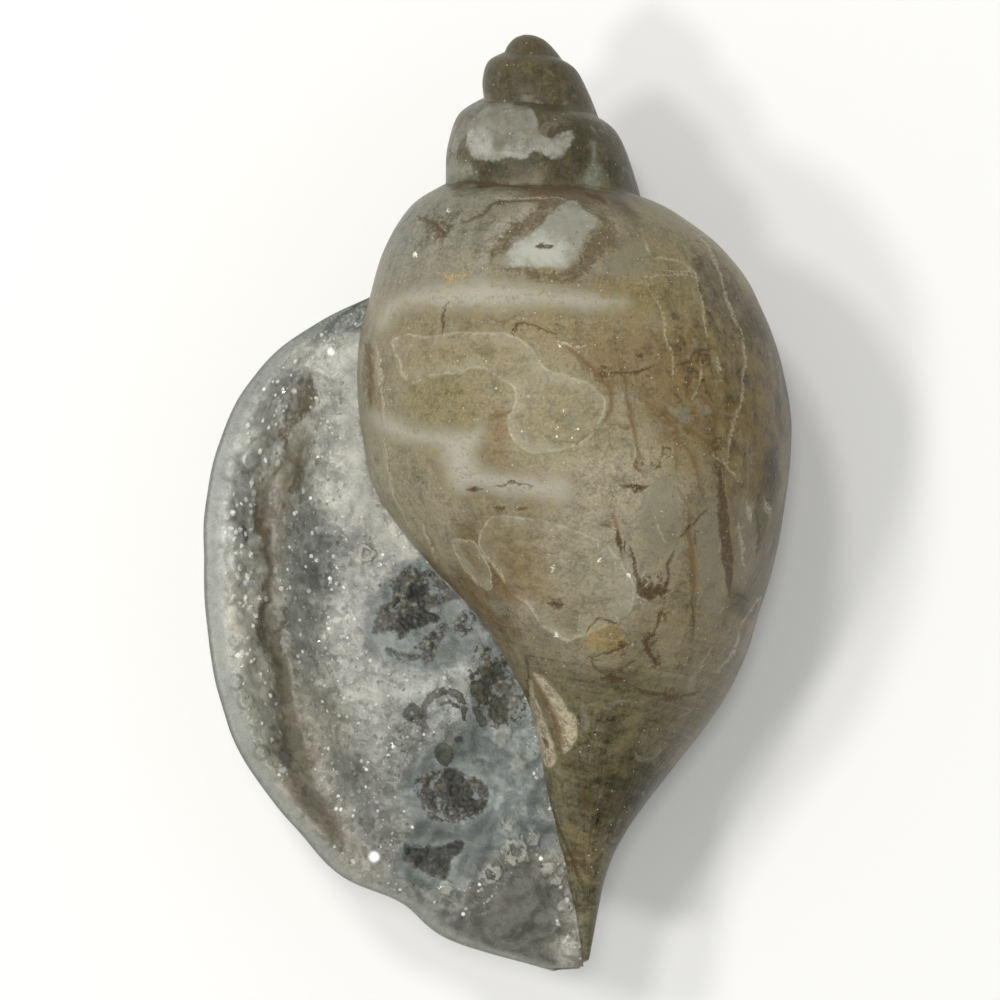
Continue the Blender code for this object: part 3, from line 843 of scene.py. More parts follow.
def paint_cast(made, points, coil, lip, mouth):
    """Stores the cast's soft colours and its distances to crisp markings on its points."""
    data = made.data
    spots = in_picture(points)
    normals = np.zeros(len(points) * 3, np.float32)
    data.vertex_normals.foreach_get("vector", normals)
    facing = normals.reshape(-1, 3)[:, 2]
    front = step(facing, -0.12, 0.1)
    seen = front > 0.5
    tone = paint_lip(cast_tone(points, spots, front), coil, lip, mouth)
    ragged = spots + 2.0 * clouds(points, 1.1, 2, 7.0, 2.0)
    far = np.full(len(spots), REACH)

    def outlines(shown, behind=()):
        unseen = outline_gap(ragged, behind) if behind else far
        return np.where(seen, outline_gap(ragged, shown), unseen) * PIXEL

    def strokes(shown, behind):
        pairs = zip(stroke_gap(ragged, shown), stroke_gap(ragged, behind))
        return np.column_stack([np.where(seen, a, b) * PIXEL for a, b in pairs])

    crumbs = blob_share(ragged, CRUMBS) * front
    sparks = blob_share(spots, SPARKS) * front
    murk = np.where(seen, spread_share(spots, MURK), 0.5)
    from_wall = points[:, 0] + np.interp(points[:, 1], *AT_INNER_WALL.T)
    neck = step(points[:, 1], 50.0, 58.0)
    add_colours(data, "tone", tone)
    add_vectors(
        data, "clear", outlines(WINDOWS, BACK_WINDOWS), outlines(PANELS, BACK_PANELS), outlines(FOLDS),
    )
    add_vectors(
        data, "cloudy", outlines((MILK_TOP, MILK_MIDDLE), BACK_PANELS[:1]),
        outlines((*BROWN_BY_WHITE, BROWN_AT_SUTURE, BROWN_LEFT)), outlines(WHITE_PATCHES),
    )
    add_vectors(data, "cores", outlines(WHITE_CORES), crumbs, murk)
    add_vectors(data, "dark", strokes(DARK_STROKES, BACK_DARK))
    add_vectors(data, "fibre", strokes(FIBRES, BACK_DARK[:2]))
    add_vectors(data, "pale", strokes(PALE_STROKES, BACK_PALE))
    add_vectors(data, "orange", strokes(ORANGE, ORANGE) + (~seen)[:, None] * 9.0)
    add_vectors(data, "coil", coil * COIL_SCALE, neck)
    add_vectors(data, "flow", from_wall, points[:, 1], sparks)


def make_cast(finish):
    points, faces, coil, lip, mouth = cast_shape()
    made, used = make_mesh("snail_cast", points, faces, finish)
    number = np.cumsum(used) - 1
    paint_cast(made, points[used], coil[used], number[lip], number[mouth[:, : len(RIM_PROFILE)]])
    made.data.shade_smooth()
    return made, points[lip[1:]], points[cast_wall(points)]


def cast_wall(points):
    """The numbers of the inner wall's points, from the second suture down."""
    _, turn = column_turns()
    start = 3 * turn * SPIRE_ROWS + SPIRE_ROWS + 1
    return start + np.arange(BODY_ROWS)


# The crust. Its markings are in pixels too, and the dark mossy patches come first.
DARK_PATCHES = (
    (388, 583, 403, 569, 419, 562, 438, 576, 456, 593, 458, 600, 438, 606, 430, 611, 441, 614, 438, 621,
     419, 628, 407, 637, 400, 642, 396, 638, 395, 632, 374, 634, 371, 628, 374, 617, 381, 606, 391, 600,
     393, 592),
    (386, 645, 396, 649, 406, 653, 416, 645, 424, 637, 435, 628, 444, 620, 447, 628, 442, 642, 435, 653,
     433, 663, 427, 667, 419, 660, 405, 663, 393, 658, 386, 653),
    (454, 625, 459, 613, 466, 609, 475, 614, 475, 625, 466, 637, 458, 634),
    (445, 768, 455, 766, 461, 775, 458, 786, 452, 790, 445, 780),
    (450, 798, 462, 796, 475, 800, 484, 800, 482, 808, 472, 812, 458, 806),
    (415, 778, 440, 770, 470, 775, 488, 785, 490, 800, 480, 815, 460, 822, 430, 820, 418, 800),
    (403, 845, 420, 842, 440, 845, 462, 840, 465, 850, 452, 862, 448, 878, 430, 875, 412, 868, 402, 858),
    (505, 655, 516, 656, 524, 668, 516, 676, 507, 668),
)

# Smooth brown-grey lobes with crisp outlines
DARK_LOBES = (
    (403, 716, 406, 707, 413, 702, 420, 708, 422, 716, 429, 728, 424, 728, 414, 722, 407, 721),
    (470, 686, 476, 680, 484, 683, 489, 694, 482, 703, 472, 696),
    (489, 701, 497, 700, 509, 716, 500, 725, 491, 718),
    (472, 708, 478, 708, 487, 722, 481, 727),
    (434, 749, 441, 743, 451, 746, 454, 756, 447, 765, 438, 762),
    (455, 737, 460, 735, 463, 740, 457, 743),
    (480, 670, 488, 668, 491, 676, 484, 680),
)
BLACKEST = (
    *DARK_PATCHES[3:5],
    DARK_LOBES[3],
    DARK_LOBES[5],
    (396, 620, 410, 612, 424, 608, 434, 616, 426, 628, 412, 630, 400, 638, 395, 630),
    (448, 784, 462, 786, 470, 798, 458, 802, 447, 792),
    (410, 588, 424, 584, 430, 596, 420, 602, 410, 600),
    (404, 846, 430, 848, 460, 841, 463, 847, 450, 862, 446, 873, 432, 872, 413, 864),
    (489, 701, 496, 700, 502, 712, 496, 722, 490, 716),
    (403, 716, 406, 707, 413, 702, 420, 708, 421, 715, 409, 722),
    (440, 707, 446, 700, 455, 701, 461, 708, 467, 719, 462, 719, 457, 709, 450, 705),
    (476, 680, 484, 683, 486, 692, 478, 690),
    (434, 749, 438, 744, 441, 752, 437, 760),
)
DARK_ARC = (424, 718, 2.5, 425, 706, 3.5, 433, 695, 4, 446, 691, 4, 458, 695, 4, 464, 706, 3.5, 464, 719, 2)
DARK_INNER_ARC = (441, 704, 1.5, 450, 702, 2.2, 458, 707, 1.5)
GRAINY_DARK = (470, 650, 495, 640, 520, 660, 527, 690, 524, 726, 500, 730, 480, 728, 470, 700, 466, 676)
BLUE_AREAS = (
    (372, 590, 390, 576, 400, 566, 425, 560, 452, 590, 480, 620, 500, 650, 524, 700, 532, 760, 545, 806,
     560, 850, 545, 850, 520, 835, 500, 850, 480, 880, 450, 890, 415, 885, 392, 868, 398, 845, 410, 830,
     405, 790, 415, 765, 435, 740, 470, 725, 470, 700, 480, 680, 460, 660, 440, 672, 400, 668, 376, 655,
     362, 640, 362, 610),
)
WHITE_CRUST = (
    330, 400, 355, 420, 362, 470, 380, 520, 420, 560, 395, 575, 375, 600, 370, 640, 390, 665, 430, 670,
    465, 660, 470, 680, 440, 690, 410, 700, 395, 730, 370, 760, 350, 720, 335, 680, 330, 640, 345, 600,
    360, 560, 340, 520, 325, 480, 320, 430,
)
SUGARY = (
    (318, 330, 345, 318, 358, 345, 356, 400, 345, 420, 325, 410, 312, 372),
    (318, 430, 345, 440, 352, 500, 335, 520, 318, 490),
)
WALL_STRIP = (
    352, 330, 360, 360, 358, 420, 368, 480, 390, 530, 430, 570, 415, 575, 375, 535, 350, 490, 342, 430,
    345, 370,
)
GREY_ZONE = (
    300, 450, 312, 480, 330, 520, 350, 540, 345, 570, 330, 600, 320, 640, 305, 700, 290, 660, 285, 600,
    282, 550, 290, 500,
)
GREY_LOWER = (330, 745, 350, 760, 370, 790, 380, 830, 372, 850, 352, 820, 335, 780)
SMOOTH_LOW = (509, 861, 551, 869, 559, 902, 551, 960, 518, 969, 451, 941, 453, 919, 486, 911, 509, 877)
TAN_LOW = (300, 760, 325, 790, 345, 830, 352, 870, 330, 858, 305, 830, 285, 790)
FURROW_BROWN = (
    305, 392, 8, 292, 420, 7, 296, 455, 10, 270, 500, 15, 268, 530, 12, 268, 560, 8, 272, 600, 8,
    266, 635, 8, 278, 660, 11, 285, 690, 15, 292, 730, 14, 300, 770, 13, 318, 810, 12, 335, 835, 9,
)
# Painted shade in the deep hole at the furrow's head, and painted shadow along the furrow's left wall under
# the lumps: x, y, half width
FURROW_HOLE_SHADE = (306, 384, 6, 308, 396, 7, 300, 410, 4, 290, 430, 3, 286, 450, 2, 298, 470, 4, 292, 490, 2)
FURROW_SHADOW_LINE = (
    256, 505, 3, 262, 530, 4, 270, 560, 4, 268, 590, 3, 260, 615, 3, 258, 630, 4, 272, 655, 3,
    280, 700, 2, 284, 742, 3, 292, 760, 3,
)

# Pale growths: rings (x, y, radius, half width) and blobs (x, y, radius)
PALE_RINGS = ((516, 851, 10.0, 4.5), (491, 874, 8.0, 3.5), (367, 553, 6.5, 2.5))
PALE_BLOBS = (
    (500, 736, 11), (518, 765, 9), (571, 945, 12), (565, 905, 9), (548, 868, 8), (508, 825, 7),
    (446, 888, 8), (534, 838, 6), (556, 880, 6), (480, 652, 8),
)

# Lumps beside the lip: x, y, radius
LUMPS_LEFT = (
    (245, 560, 15), (255, 600, 13), (238, 590, 12), (232, 540, 13), (240, 640, 10),
    (236, 682, 8), (246, 700, 9), (268, 735, 10), (262, 752, 8), (236, 615, 10),
    (225, 510, 13), (232, 470, 12), (252, 460, 9), (246, 575, 10),
)

# Painted glints, white spots where crystal faces catch the light: x, y, radius
PAINTED_GLINTS = (
    (374, 857, 6), (283, 769, 4), (252, 582, 3), (246, 583, 3), (238, 655, 3), (331, 352, 4),
    (294, 391, 3),
)

# Broad colours of the crust: middle, half sizes, colour
CRUST_ZONES = (
    (225, 480, 16, 120, (199, 201, 192)),
    (240, 440, 16, 40, (200, 202, 193)),
    (240, 600, 22, 50, (192, 190, 176)),
    (250, 745, 20, 50, (151, 151, 138)),
    (320, 350, 34, 26, (172, 173, 163)),
    (270, 385, 24, 30, (164, 166, 158)),
    # Pale here, left of the furrow's head: painted light that lifts the shade of the slope
    (266, 418, 14, 26, (206, 207, 199)),
    (288, 470, 18, 40, (118, 115, 102)),
    (272, 520, 16, 30, (124, 119, 106)),
    (276, 640, 12, 30, (120, 114, 99)),
    (288, 720, 16, 50, (146, 141, 124)),
    (302, 590, 16, 60, (126, 127, 118)),
    (328, 550, 19, 19, (40, 40, 37)),
    (335, 440, 20, 50, (141, 140, 129)),
    (378, 540, 14, 20, (176, 174, 160)),
    (350, 610, 22, 40, (156, 156, 147)),
    (345, 715, 20, 18, (134, 134, 120)),
    (335, 690, 30, 30, (146, 147, 136)),
    (330, 780, 26, 30, (130, 128, 118)),
    (308, 770, 12, 14, (128, 114, 100)),
    (400, 760, 28, 50, (113, 115, 105)),
    (430, 700, 40, 24, (130, 134, 127)),
    (420, 900, 36, 24, (105, 107, 98)),
    (345, 850, 24, 24, (136, 133, 120)),
    (500, 790, 30, 40, (112, 121, 118)),
    (520, 905, 36, 44, (88, 86, 75)),
    (560, 860, 12, 40, (116, 115, 100)),
    (520, 948, 24, 12, (60, 59, 51)),
    (575, 940, 14, 20, (118, 116, 104)),
)


def crust_tone(points, spots):
    """Colours of the crust at the spots, with painted shade in the furrow's hole and along its edge, and
    how blue it is and how much of the furrow is there.
    """
    rough = clouds(points, 2.6, 4, 3.7, 8.3)
    fine = clouds(points, 0.7, 3, 6.1, 4.9)
    drifting = spots + 16.0 * rough + 5.0 * fine
    ragged = spots + 5.0 * rough + 5.0 * fine
    blue = soft(ragged, BLUE_AREAS, 7)
    tone = lay_over(
        blend_zones(drifting, CRUST_ZONES),
        ((156, 156, 147), 0.6 * soft(ragged, (WHITE_CRUST,), 9)),
        ((164, 164, 154), 0.6 * soft(ragged, SUGARY, 8)),
        ((157, 157, 147), 0.7 * soft(ragged, (WALL_STRIP,), 6)),
        ((106, 109, 103), 0.6 * soft(ragged, (GREY_ZONE, GREY_LOWER), 9)),
        ((93, 99, 95), 0.78 * blue),
        ((132, 137, 131), 0.75 * blue * step(rough[:, 0] + 0.5 * fine[:, 1], 0.02, 0.3)),
        ((88, 96, 95), 0.6 * blue * step(rough[:, 1] + 0.3 * fine[:, 0], 0.05, 0.35)),
        ((74, 73, 61), 0.85 * soft(ragged, (SMOOTH_LOW,), 6)),
        ((132, 124, 108), 0.5 * soft(ragged, (TAN_LOW,), 8)),
    )
    tone *= (1.0 + 0.35 * cloud(points, 3.4, 3, 15.0) + 0.2 * rough[:, 0])[:, None]
    furrow = step(stroke_gap(ragged, (FURROW_BROWN,))[1], 7.0, -5.0)
    # Dark brown in that hole and along the furrow's left wall: painted shade and painted shadow
    core = step(stroke_gap(ragged, (FURROW_HOLE_SHADE, FURROW_SHADOW_LINE))[1], 3.5, -1.5)
    return lay_over(tone, ((120, 116, 100), 0.6 * furrow), ((94, 85, 68), 0.8 * core)), blue, furrow


def dark_share(points, spots):
    """Pixels to the dark moss and to the smooth lobes, less than 0 inside them, and how black it is."""
    fine = clouds(points, 0.8, 3, 2.2, 7.4)
    ragged = spots + 3.0 * fine
    gap = outline_gap(ragged, DARK_PATCHES)
    crisp = spots + 1.3 * fine
    _, edge, _ = stroke_gap(crisp, (DARK_ARC, DARK_INNER_ARC))
    lobes = np.minimum(outline_gap(crisp, DARK_LOBES), edge)
    grainy = outline_gap(ragged, (GRAINY_DARK,)) + 14.0 * step(cloud(points, 0.5, 2, 1.3), 0.2, -0.1)
    black = soft(ragged, BLACKEST, 3.0) - 0.9 * soft(ragged, (GRAINY_DARK,), 6.0)
    return np.minimum(gap, grainy), lobes, black


def pale_share(spots):
    """Small pale growths: rings and ragged blobs."""
    ragged = spots + 5.0 * clouds(np.column_stack([spots, spots[:, :1]]), 9.0, 3, 1.0, 5.0)
    share = 0.8 * blob_share(ragged, PALE_BLOBS)
    for x, y, radius, half in PALE_RINGS:
        away = np.abs(np.hypot(ragged[:, 0] - x, ragged[:, 1] - y) - radius)
        share = np.maximum(share, step(away, half * 1.2, half * 0.5))
    return share


def cells(x, y, spacing, seed):
    """Walks the cells of an uneven grid round each point: offsets to a cell's middle, its numbers."""
    chance = np.random.default_rng(seed)
    count = 160
    spread = chance.uniform(-0.38, 0.38, (count, count, 2))
    numbers = chance.uniform(0.0, 1.0, (count, count, 6))
    i = np.floor(x / spacing).astype(int)
    j = np.floor(y / spacing).astype(int)
    for across in range(-2, 3):
        for along in range(-2, 3):
            a, b = (i + across) % count, (j + along) % count
            middle_x = (i + across + 0.5 + spread[a, b, 0]) * spacing
            middle_y = (j + along + 0.5 + spread[a, b, 1]) * spacing
            yield x - middle_x, y - middle_y, numbers[a, b]


def druse(x, y, spacing, seed, steep=1.05, lean=0.35):
    """Quartz points side by side, each a six-sided pyramid: height and the crystal's own numbers."""
    best = np.full(len(x), -np.inf)
    own = np.zeros((len(x), 6))
    for dx, dy, numbers in cells(x, y, spacing, seed):
        turn = numbers[:, 0] * math.tau / 6
        far = np.full(len(x), -np.inf)
        for side in range(6):
            angle = turn + side * math.tau / 6
            start = 0.10 * spacing * ((side % 2) + numbers[:, 1])
            far = np.maximum(far, dx * np.cos(angle) + dy * np.sin(angle) - start)
        tilt = lean * ((numbers[:, 2] - 0.5) * dx + (numbers[:, 3] - 0.5) * dy) * 2.0
        height = (numbers[:, 4] - 0.5) * 0.55 * spacing - steep * far + tilt
        higher = height > best
        best[higher] = height[higher]
        own[higher] = numbers[higher]
    return best, own


def domes(x, y, spacing, seed):
    """Rounded growths side by side: height, 0 to 1."""
    best = np.full(len(x), np.inf)
    for dx, dy, numbers in cells(x, y, spacing, seed):
        best = np.minimum(best, np.hypot(dx, dy) / spacing * (1.25 - 0.5 * numbers[:, 0]))
    return np.sqrt(np.clip(1.0 - (best / 0.8) ** 2, 0.0, 1.0))


def grain_shares(spots, blue, furrow, dark, rim_gap):
    """How much of the coarse and the fine crystals stands on the crust at each spot."""
    coarse = step(spots[:, 0], 300.0, 262.0) * step(spots[:, 1], 330.0, 380.0)
    low = soft(spots, (SMOOTH_LOW,), 10)
    wall = soft(spots, (WALL_STRIP,), 6)
    sharp = (1.0 - 0.85 * blue) * (1.0 - 0.9 * low) * (1.0 - 0.75 * wall) * (1.0 - dark) * (1.0 - furrow)
    sharp = sharp * step(rim_gap, 0.9, 2.1)
    return coarse * sharp, (1.0 - coarse) * sharp


def crust_relief(x, y, spots, blue, furrow, dark, rim_gap):
    """Height that lumps, crystals and growths add to the crust, its crystals' numbers, how high each point
    stands among the crystals (for painted shade in the hollows), and how grainy it is.
    """
    coarse, fine = grain_shares(spots, blue, furrow, dark, rim_gap)
    inner = step(rim_gap, 0.3, 2.2)
    lumps = blob_share(spots, LUMPS_LEFT)
    swell = cloud(np.stack([x, y, np.zeros(len(x))], -1), 3.2, 3, 4.0)
    slab, slab_own = druse(x, y, 2.1, 20, steep=0.5, lean=0.22)
    large, large_own = druse(x, y, 1.7, 21, steep=0.6, lean=0.25)
    small, small_own = druse(x, y, 0.85, 22, steep=0.7)
    grape = domes(x, y, 0.5, 23)
    bump = domes(x, y, 2.1, 24)
    knob = domes(x, y, 1.1, 25)
    mounds = (coarse + 0.4 * fine) * 0.36 * (bump - 0.5) + fine * 0.08 * (knob - 0.5)
    points = coarse * (0.15 * large + 0.04 * small) + fine * 0.11 * small
    height = inner * (0.4 * swell + 0.35 * lumps + mounds + furrow * (0.5 * slab + 0.03 * small))
    height += (0.1 + 0.9 * inner) * points + dark * (0.16 * grape - 0.1) + 0.2 * pale_share(spots)
    own = np.where((coarse > fine)[:, None], large_own, small_own)
    own = np.where((furrow > 0.5)[:, None], slab_own, own)
    # How high each point stands among its crystals: the paint darkens the low ones, as painted shade in the
    # hollows
    painted_shade_height = coarse * (large + 0.5 * small) / 0.8 + fine * (small / 0.5 + knob - 0.6)
    return height, own, painted_shade_height, coarse + fine


def crust_grid(lip, wall):
    """Across and along places of the crust's points, and how far each is from the rim's edge."""
    along = np.linspace(CRUST_FIRST, CRUST_LAST, CRUST_ROWS + 1)
    lip_x = np.interp(along, lip[:, 1], lip[:, 0])
    wall_x = np.interp(along, wall[:, 1], wall[:, 0])
    width = wall_x - lip_x
    inset = np.minimum(CRUST_INSET, 0.12 * width)
    left = lip_x + inset
    right = wall_x + np.minimum(CRUST_OVERLAP, 0.3 * np.abs(wall_x))
    share = np.linspace(0.0, 1.0, CRUST_COLUMNS + 1)
    x = left[:, None] + (right - left)[:, None] * share
    y = np.broadcast_to(along[:, None], x.shape)
    return x, y, x - lip_x[:, None], width


def crust_shape(lip, wall):
    """Points and faces of the crust, and what its paint needs to know at each point of its top."""
    grid_x, grid_y, rim_gap, width = crust_grid(lip, wall)
    x, y, rim_gap = grid_x.ravel(), grid_y.ravel(), rim_gap.ravel()
    width = np.repeat(width, grid_x.shape[1])
    level = deepness(width) * crust_level(x, y)
    ground = np.stack([x, y, level], -1)
    spots = in_picture(ground)
    tone, blue, furrow = crust_tone(ground, spots)
    dark_gap, lobe_gap, black = dark_share(ground, spots)
    dark = step(dark_gap, 2.0, -2.0)
    relief, own, painted_shade_height, crystals = crust_relief(x, y, spots, blue, furrow, dark, rim_gap)
    edges = step(rim_gap, 0.34, 0.8) * step(width, 1.0, 4.0)
    rim_widths = rim_gap / np.minimum(RIM_WIDTH, NARROW_SHARE * np.maximum(width, 0.1))
    drop = np.interp(rim_widths, *zip(*CRUST_EDGE))
    lift = np.maximum(0.36 - level, 0.0) * step(rim_widths, 4.0, 1.6)
    top = np.stack([x, y, level + lift + 0.05 + relief * edges - drop], -1)
    facts = {
        "spots": spots, "tone": tone, "furrow": furrow, "dark_gap": dark_gap, "black": black,
        "lobe_gap": lobe_gap, "own": own, "painted_shade_height": painted_shade_height, "crystals": crystals * edges,
        "rim_gap": rim_gap, "along": y,
    }
    return top, grid_x.shape, facts


def close_underneath(top, shape):
    """Adds the crust's coarse underside and sides to its top, and returns all points and faces."""
    ids = np.arange(len(top)).reshape(shape)
    faces = grid_faces(ids)
    rows, columns = ids[::UNDER_STEP, ::UNDER_STEP].shape
    under = top[ids[::UNDER_STEP, ::UNDER_STEP].ravel()].copy()
    under_x = under[:, 0].reshape(rows, columns)
    pulled = 0.9 * deepness(under_x[:, -1] - under_x[:, 0])
    middle = under_x.mean(1)[:, None]
    half = np.maximum(under_x[:, -1:] - middle, 1e-3)
    under[:, 0] = (middle + (under_x - middle) * (half - pulled[:, None]) / half).ravel()
    under[:, 2] -= CRUST_THICKNESS
    under_ids = len(top) + np.arange(len(under)).reshape(rows, columns)
    faces += grid_faces(under_ids)
    sides = (
        (ids[0], under_ids[0]), (ids[-1], under_ids[-1]), (ids[:, 0], under_ids[:, 0]),
        (ids[:, -1], under_ids[:, -1]),
    )
    for upper, lower in sides:
        for k in range(len(lower) - 1):
            start = k * UNDER_STEP
            half_way = start + UNDER_STEP // 2
            faces += [(upper[i], upper[i + 1], lower[k]) for i in range(start, half_way)]
            faces += [(upper[i], upper[i + 1], lower[k + 1]) for i in range(half_way, start + UNDER_STEP)]
            faces.append((upper[half_way], lower[k + 1], lower[k]))
    return np.concatenate([top, under]), faces


def paint_crust(made, facts, count):
    """Stores the crust's colours, with painted shade in the hollows between crystals and painted glints,
    and its gloss on its points.
    """
    tone, own, crystals = facts["tone"], facts["own"], facts["crystals"]
    grainy = np.maximum(crystals, facts["furrow"])
    # Each crystal a little lighter or darker at random, and darker in the hollows between crystals: painted
    # shade
    shade = 1.0 + grainy * (0.26 * (own[:, 5] - 0.5) + 0.1 * np.clip(facts["painted_shade_height"], -1.0, 1.0))
    near_rim = step(facts["rim_gap"], 2.6, 0.9)
    tip = step(facts["along"], 26.8, 24.8)
    tone = lay_over(
        tone * shade[:, None],
        ((126, 134, 133), 0.45 * step(facts["dark_gap"], 8.0, 0.0)),
        ((164, 163, 151), 0.6 * pale_share(facts["spots"])),
        # White blobs: painted glints where crystal faces catch the light
        ((250, 250, 244), blob_share(facts["spots"], PAINTED_GLINTS)),
        ((136, 139, 131), 0.8 * near_rim * step(facts["along"], 66.0, 58.0)),
        ((128, 130, 120), 0.75 * near_rim * step(facts["along"], 58.0, 66.0)),
        ((116, 120, 112), 0.6 * near_rim * step(facts["along"], 36.0, 30.0)),
        ((121, 126, 119), 0.9 * step(facts["rim_gap"], 0.42, 0.2)),
        ((98, 103, 96), 0.9 * tip),
    )
    below = count - len(tone)
    frost = crystals * (1.0 - near_rim)
    add_colours(made.data, "tone", np.concatenate([tone, np.tile(light((120, 118, 108)), (below, 1))]))
    grains = np.column_stack([np.maximum(grainy, 0.15), frost, tip])
    add_vectors(made.data, "grains", np.concatenate([grains, np.full((below, 3), 0.1)]))
    growth = np.column_stack([facts["dark_gap"] * PIXEL, facts["lobe_gap"] * PIXEL, facts["black"]])
    add_vectors(made.data, "growth", np.concatenate([growth, np.full((below, 3), REACH * PIXEL)]))


def make_crust(lip, wall, finish):
    top, shape, facts = crust_shape(lip, wall)
    points, faces = close_underneath(top, shape)
    made, _ = make_mesh("crust_floor", points, faces, finish)
    paint_crust(made, facts, len(points))
    flat = facts["crystals"] > 0.35
    flat = np.concatenate([flat, np.ones(len(points) - len(flat), bool)])
    corners = np.zeros(len(made.data.loops), np.int32)
    made.data.loops.foreach_get("vertex_index", corners)
    starts = np.zeros(len(made.data.polygons), np.int32)
    made.data.polygons.foreach_get("loop_start", starts)
    made.data.polygons.foreach_set("use_smooth", ~flat[corners[starts]])
    made.data.update()
    return made, top.reshape(shape + (3,)), facts


# The quartz points that stand out of the crust

CRYSTAL_SIDES = 6
POINT_TRIES = 1300


def crystal_template():
    """A six-sided quartz point, one unit across and upright: its points and faces."""
    angles = np.arange(CRYSTAL_SIDES) * math.tau / CRYSTAL_SIDES
    ring = np.stack([np.cos(angles), np.sin(angles)], -1) * 0.5
    foot = np.column_stack([ring * 0.9, np.full(CRYSTAL_SIDES, -0.9)])
    shoulder = np.column_stack([ring, 0.18 + 0.05 * (np.arange(CRYSTAL_SIDES) % 2)])
    tip = np.array([[0.0, 0.0, 0.74]])
    faces = [tuple(range(CRYSTAL_SIDES))[::-1]]
    for k in range(CRYSTAL_SIDES):
        following = (k + 1) % CRYSTAL_SIDES
        faces.append((k, following, following + CRYSTAL_SIDES, k + CRYSTAL_SIDES))
        faces.append((k + CRYSTAL_SIDES, following + CRYSTAL_SIDES, 2 * CRYSTAL_SIDES))
    return np.concatenate([foot, shoulder, tip]), faces


def unit(vectors):
    return vectors / np.linalg.norm(vectors, axis=1)[:, None]


def make_points(grid, facts, finish):
    """Small quartz points, leaning at random on the crust's grainy parts."""
    chance = np.random.default_rng(31)
    rows, columns = grid.shape[:2]
    area = np.abs(grid[:, -1, 0] - grid[:, 0, 0])
    row = chance.choice(rows - 16, POINT_TRIES, p=area[8:-8] / area[8:-8].sum()) + 8
    column = chance.integers(3, columns - 3, POINT_TRIES)
    flat = row * columns + column
    spots = facts["spots"][flat]
    crystals = facts["crystals"][flat]
    keep = (crystals > 0.3 + 0.7 * chance.random(POINT_TRIES)) & (facts["rim_gap"][flat] > 1.9)
    flat, spots, row, column = flat[keep], spots[keep], row[keep], column[keep]
    count = len(flat)
    coarse = step(spots[:, 0], 310.0, 250.0)
    size = (0.4 + 0.28 * coarse) * chance.uniform(0.6, 1.3, count)
    beside = grid[row, column + 2] - grid[row, column - 2]
    onward = grid[row + 3, column] - grid[row - 3, column]
    normal = unit(np.cross(beside, onward))
    normal *= np.where(normal[:, 2] < 0, -1.0, 1.0)[:, None]
    upright = unit(normal * 0.55 + np.array((0.0, 0.0, 0.55)) + chance.normal(0.0, 0.3, (count, 3)))
    side = unit(np.cross(upright, chance.normal(0.0, 1.0, (count, 3))))
    axes = np.stack([side, np.cross(upright, side), upright], 1)
    template, template_faces = crystal_template()
    shapes = template[None] * np.stack([size, size * chance.uniform(0.8, 1.15, count), size], -1)[:, None]
    shapes[:, -1, :2] += (chance.normal(0.0, 0.1, (count, 2)) * size[:, None])
    placed = shapes @ axes + grid[row, column][:, None]
    placed[:, :, 2] -= 0.3 * size[:, None]
    starts = range(0, count * len(template), len(template))
    faces = [tuple(start + k for k in face) for start in starts for face in template_faces]
    made, _ = make_mesh("quartz_points", placed.reshape(-1, 3), faces, finish)
    tone = facts["tone"][flat] * chance.uniform(0.9, 1.15, count)[:, None]
    # A few points much whiter: partly milky quartz, partly painted glints
    tone = lay_over(tone, ((222, 222, 212), chance.uniform(0.0, 1.0, count) ** 3))
    add_colours(made.data, "tone", np.repeat(tone, len(template), 0))
    return made


# Materials

CHALCEDONY_IOR = 1.54
QUARTZ_IOR = 1.544
HALVES = (0.5, 0.5, 0.5)


def put(value, socket):
    """Links a node's output to the socket, or sets a number. A colour is given as the eye sees it."""
    if isinstance(value, Output):
        socket.id_data.links.new(value.socket, socket)
    elif socket.type == "RGBA":
        socket.default_value = (*light(value), 1.0)
    else:
        socket.default_value = value


def add_node(tree, kind, inputs=(), outputs=(0,), **settings):
    """The outputs of a new node that has its settings and inputs."""
    node = tree.nodes.new(kind)
    for name, setting in settings.items():
        setattr(node, name, setting)
    for key, value in dict(inputs).items():
        put(value, node.inputs[key])
    found = [Output(node.outputs[key]) for key in outputs]
    return found if len(found) > 1 else found[0]


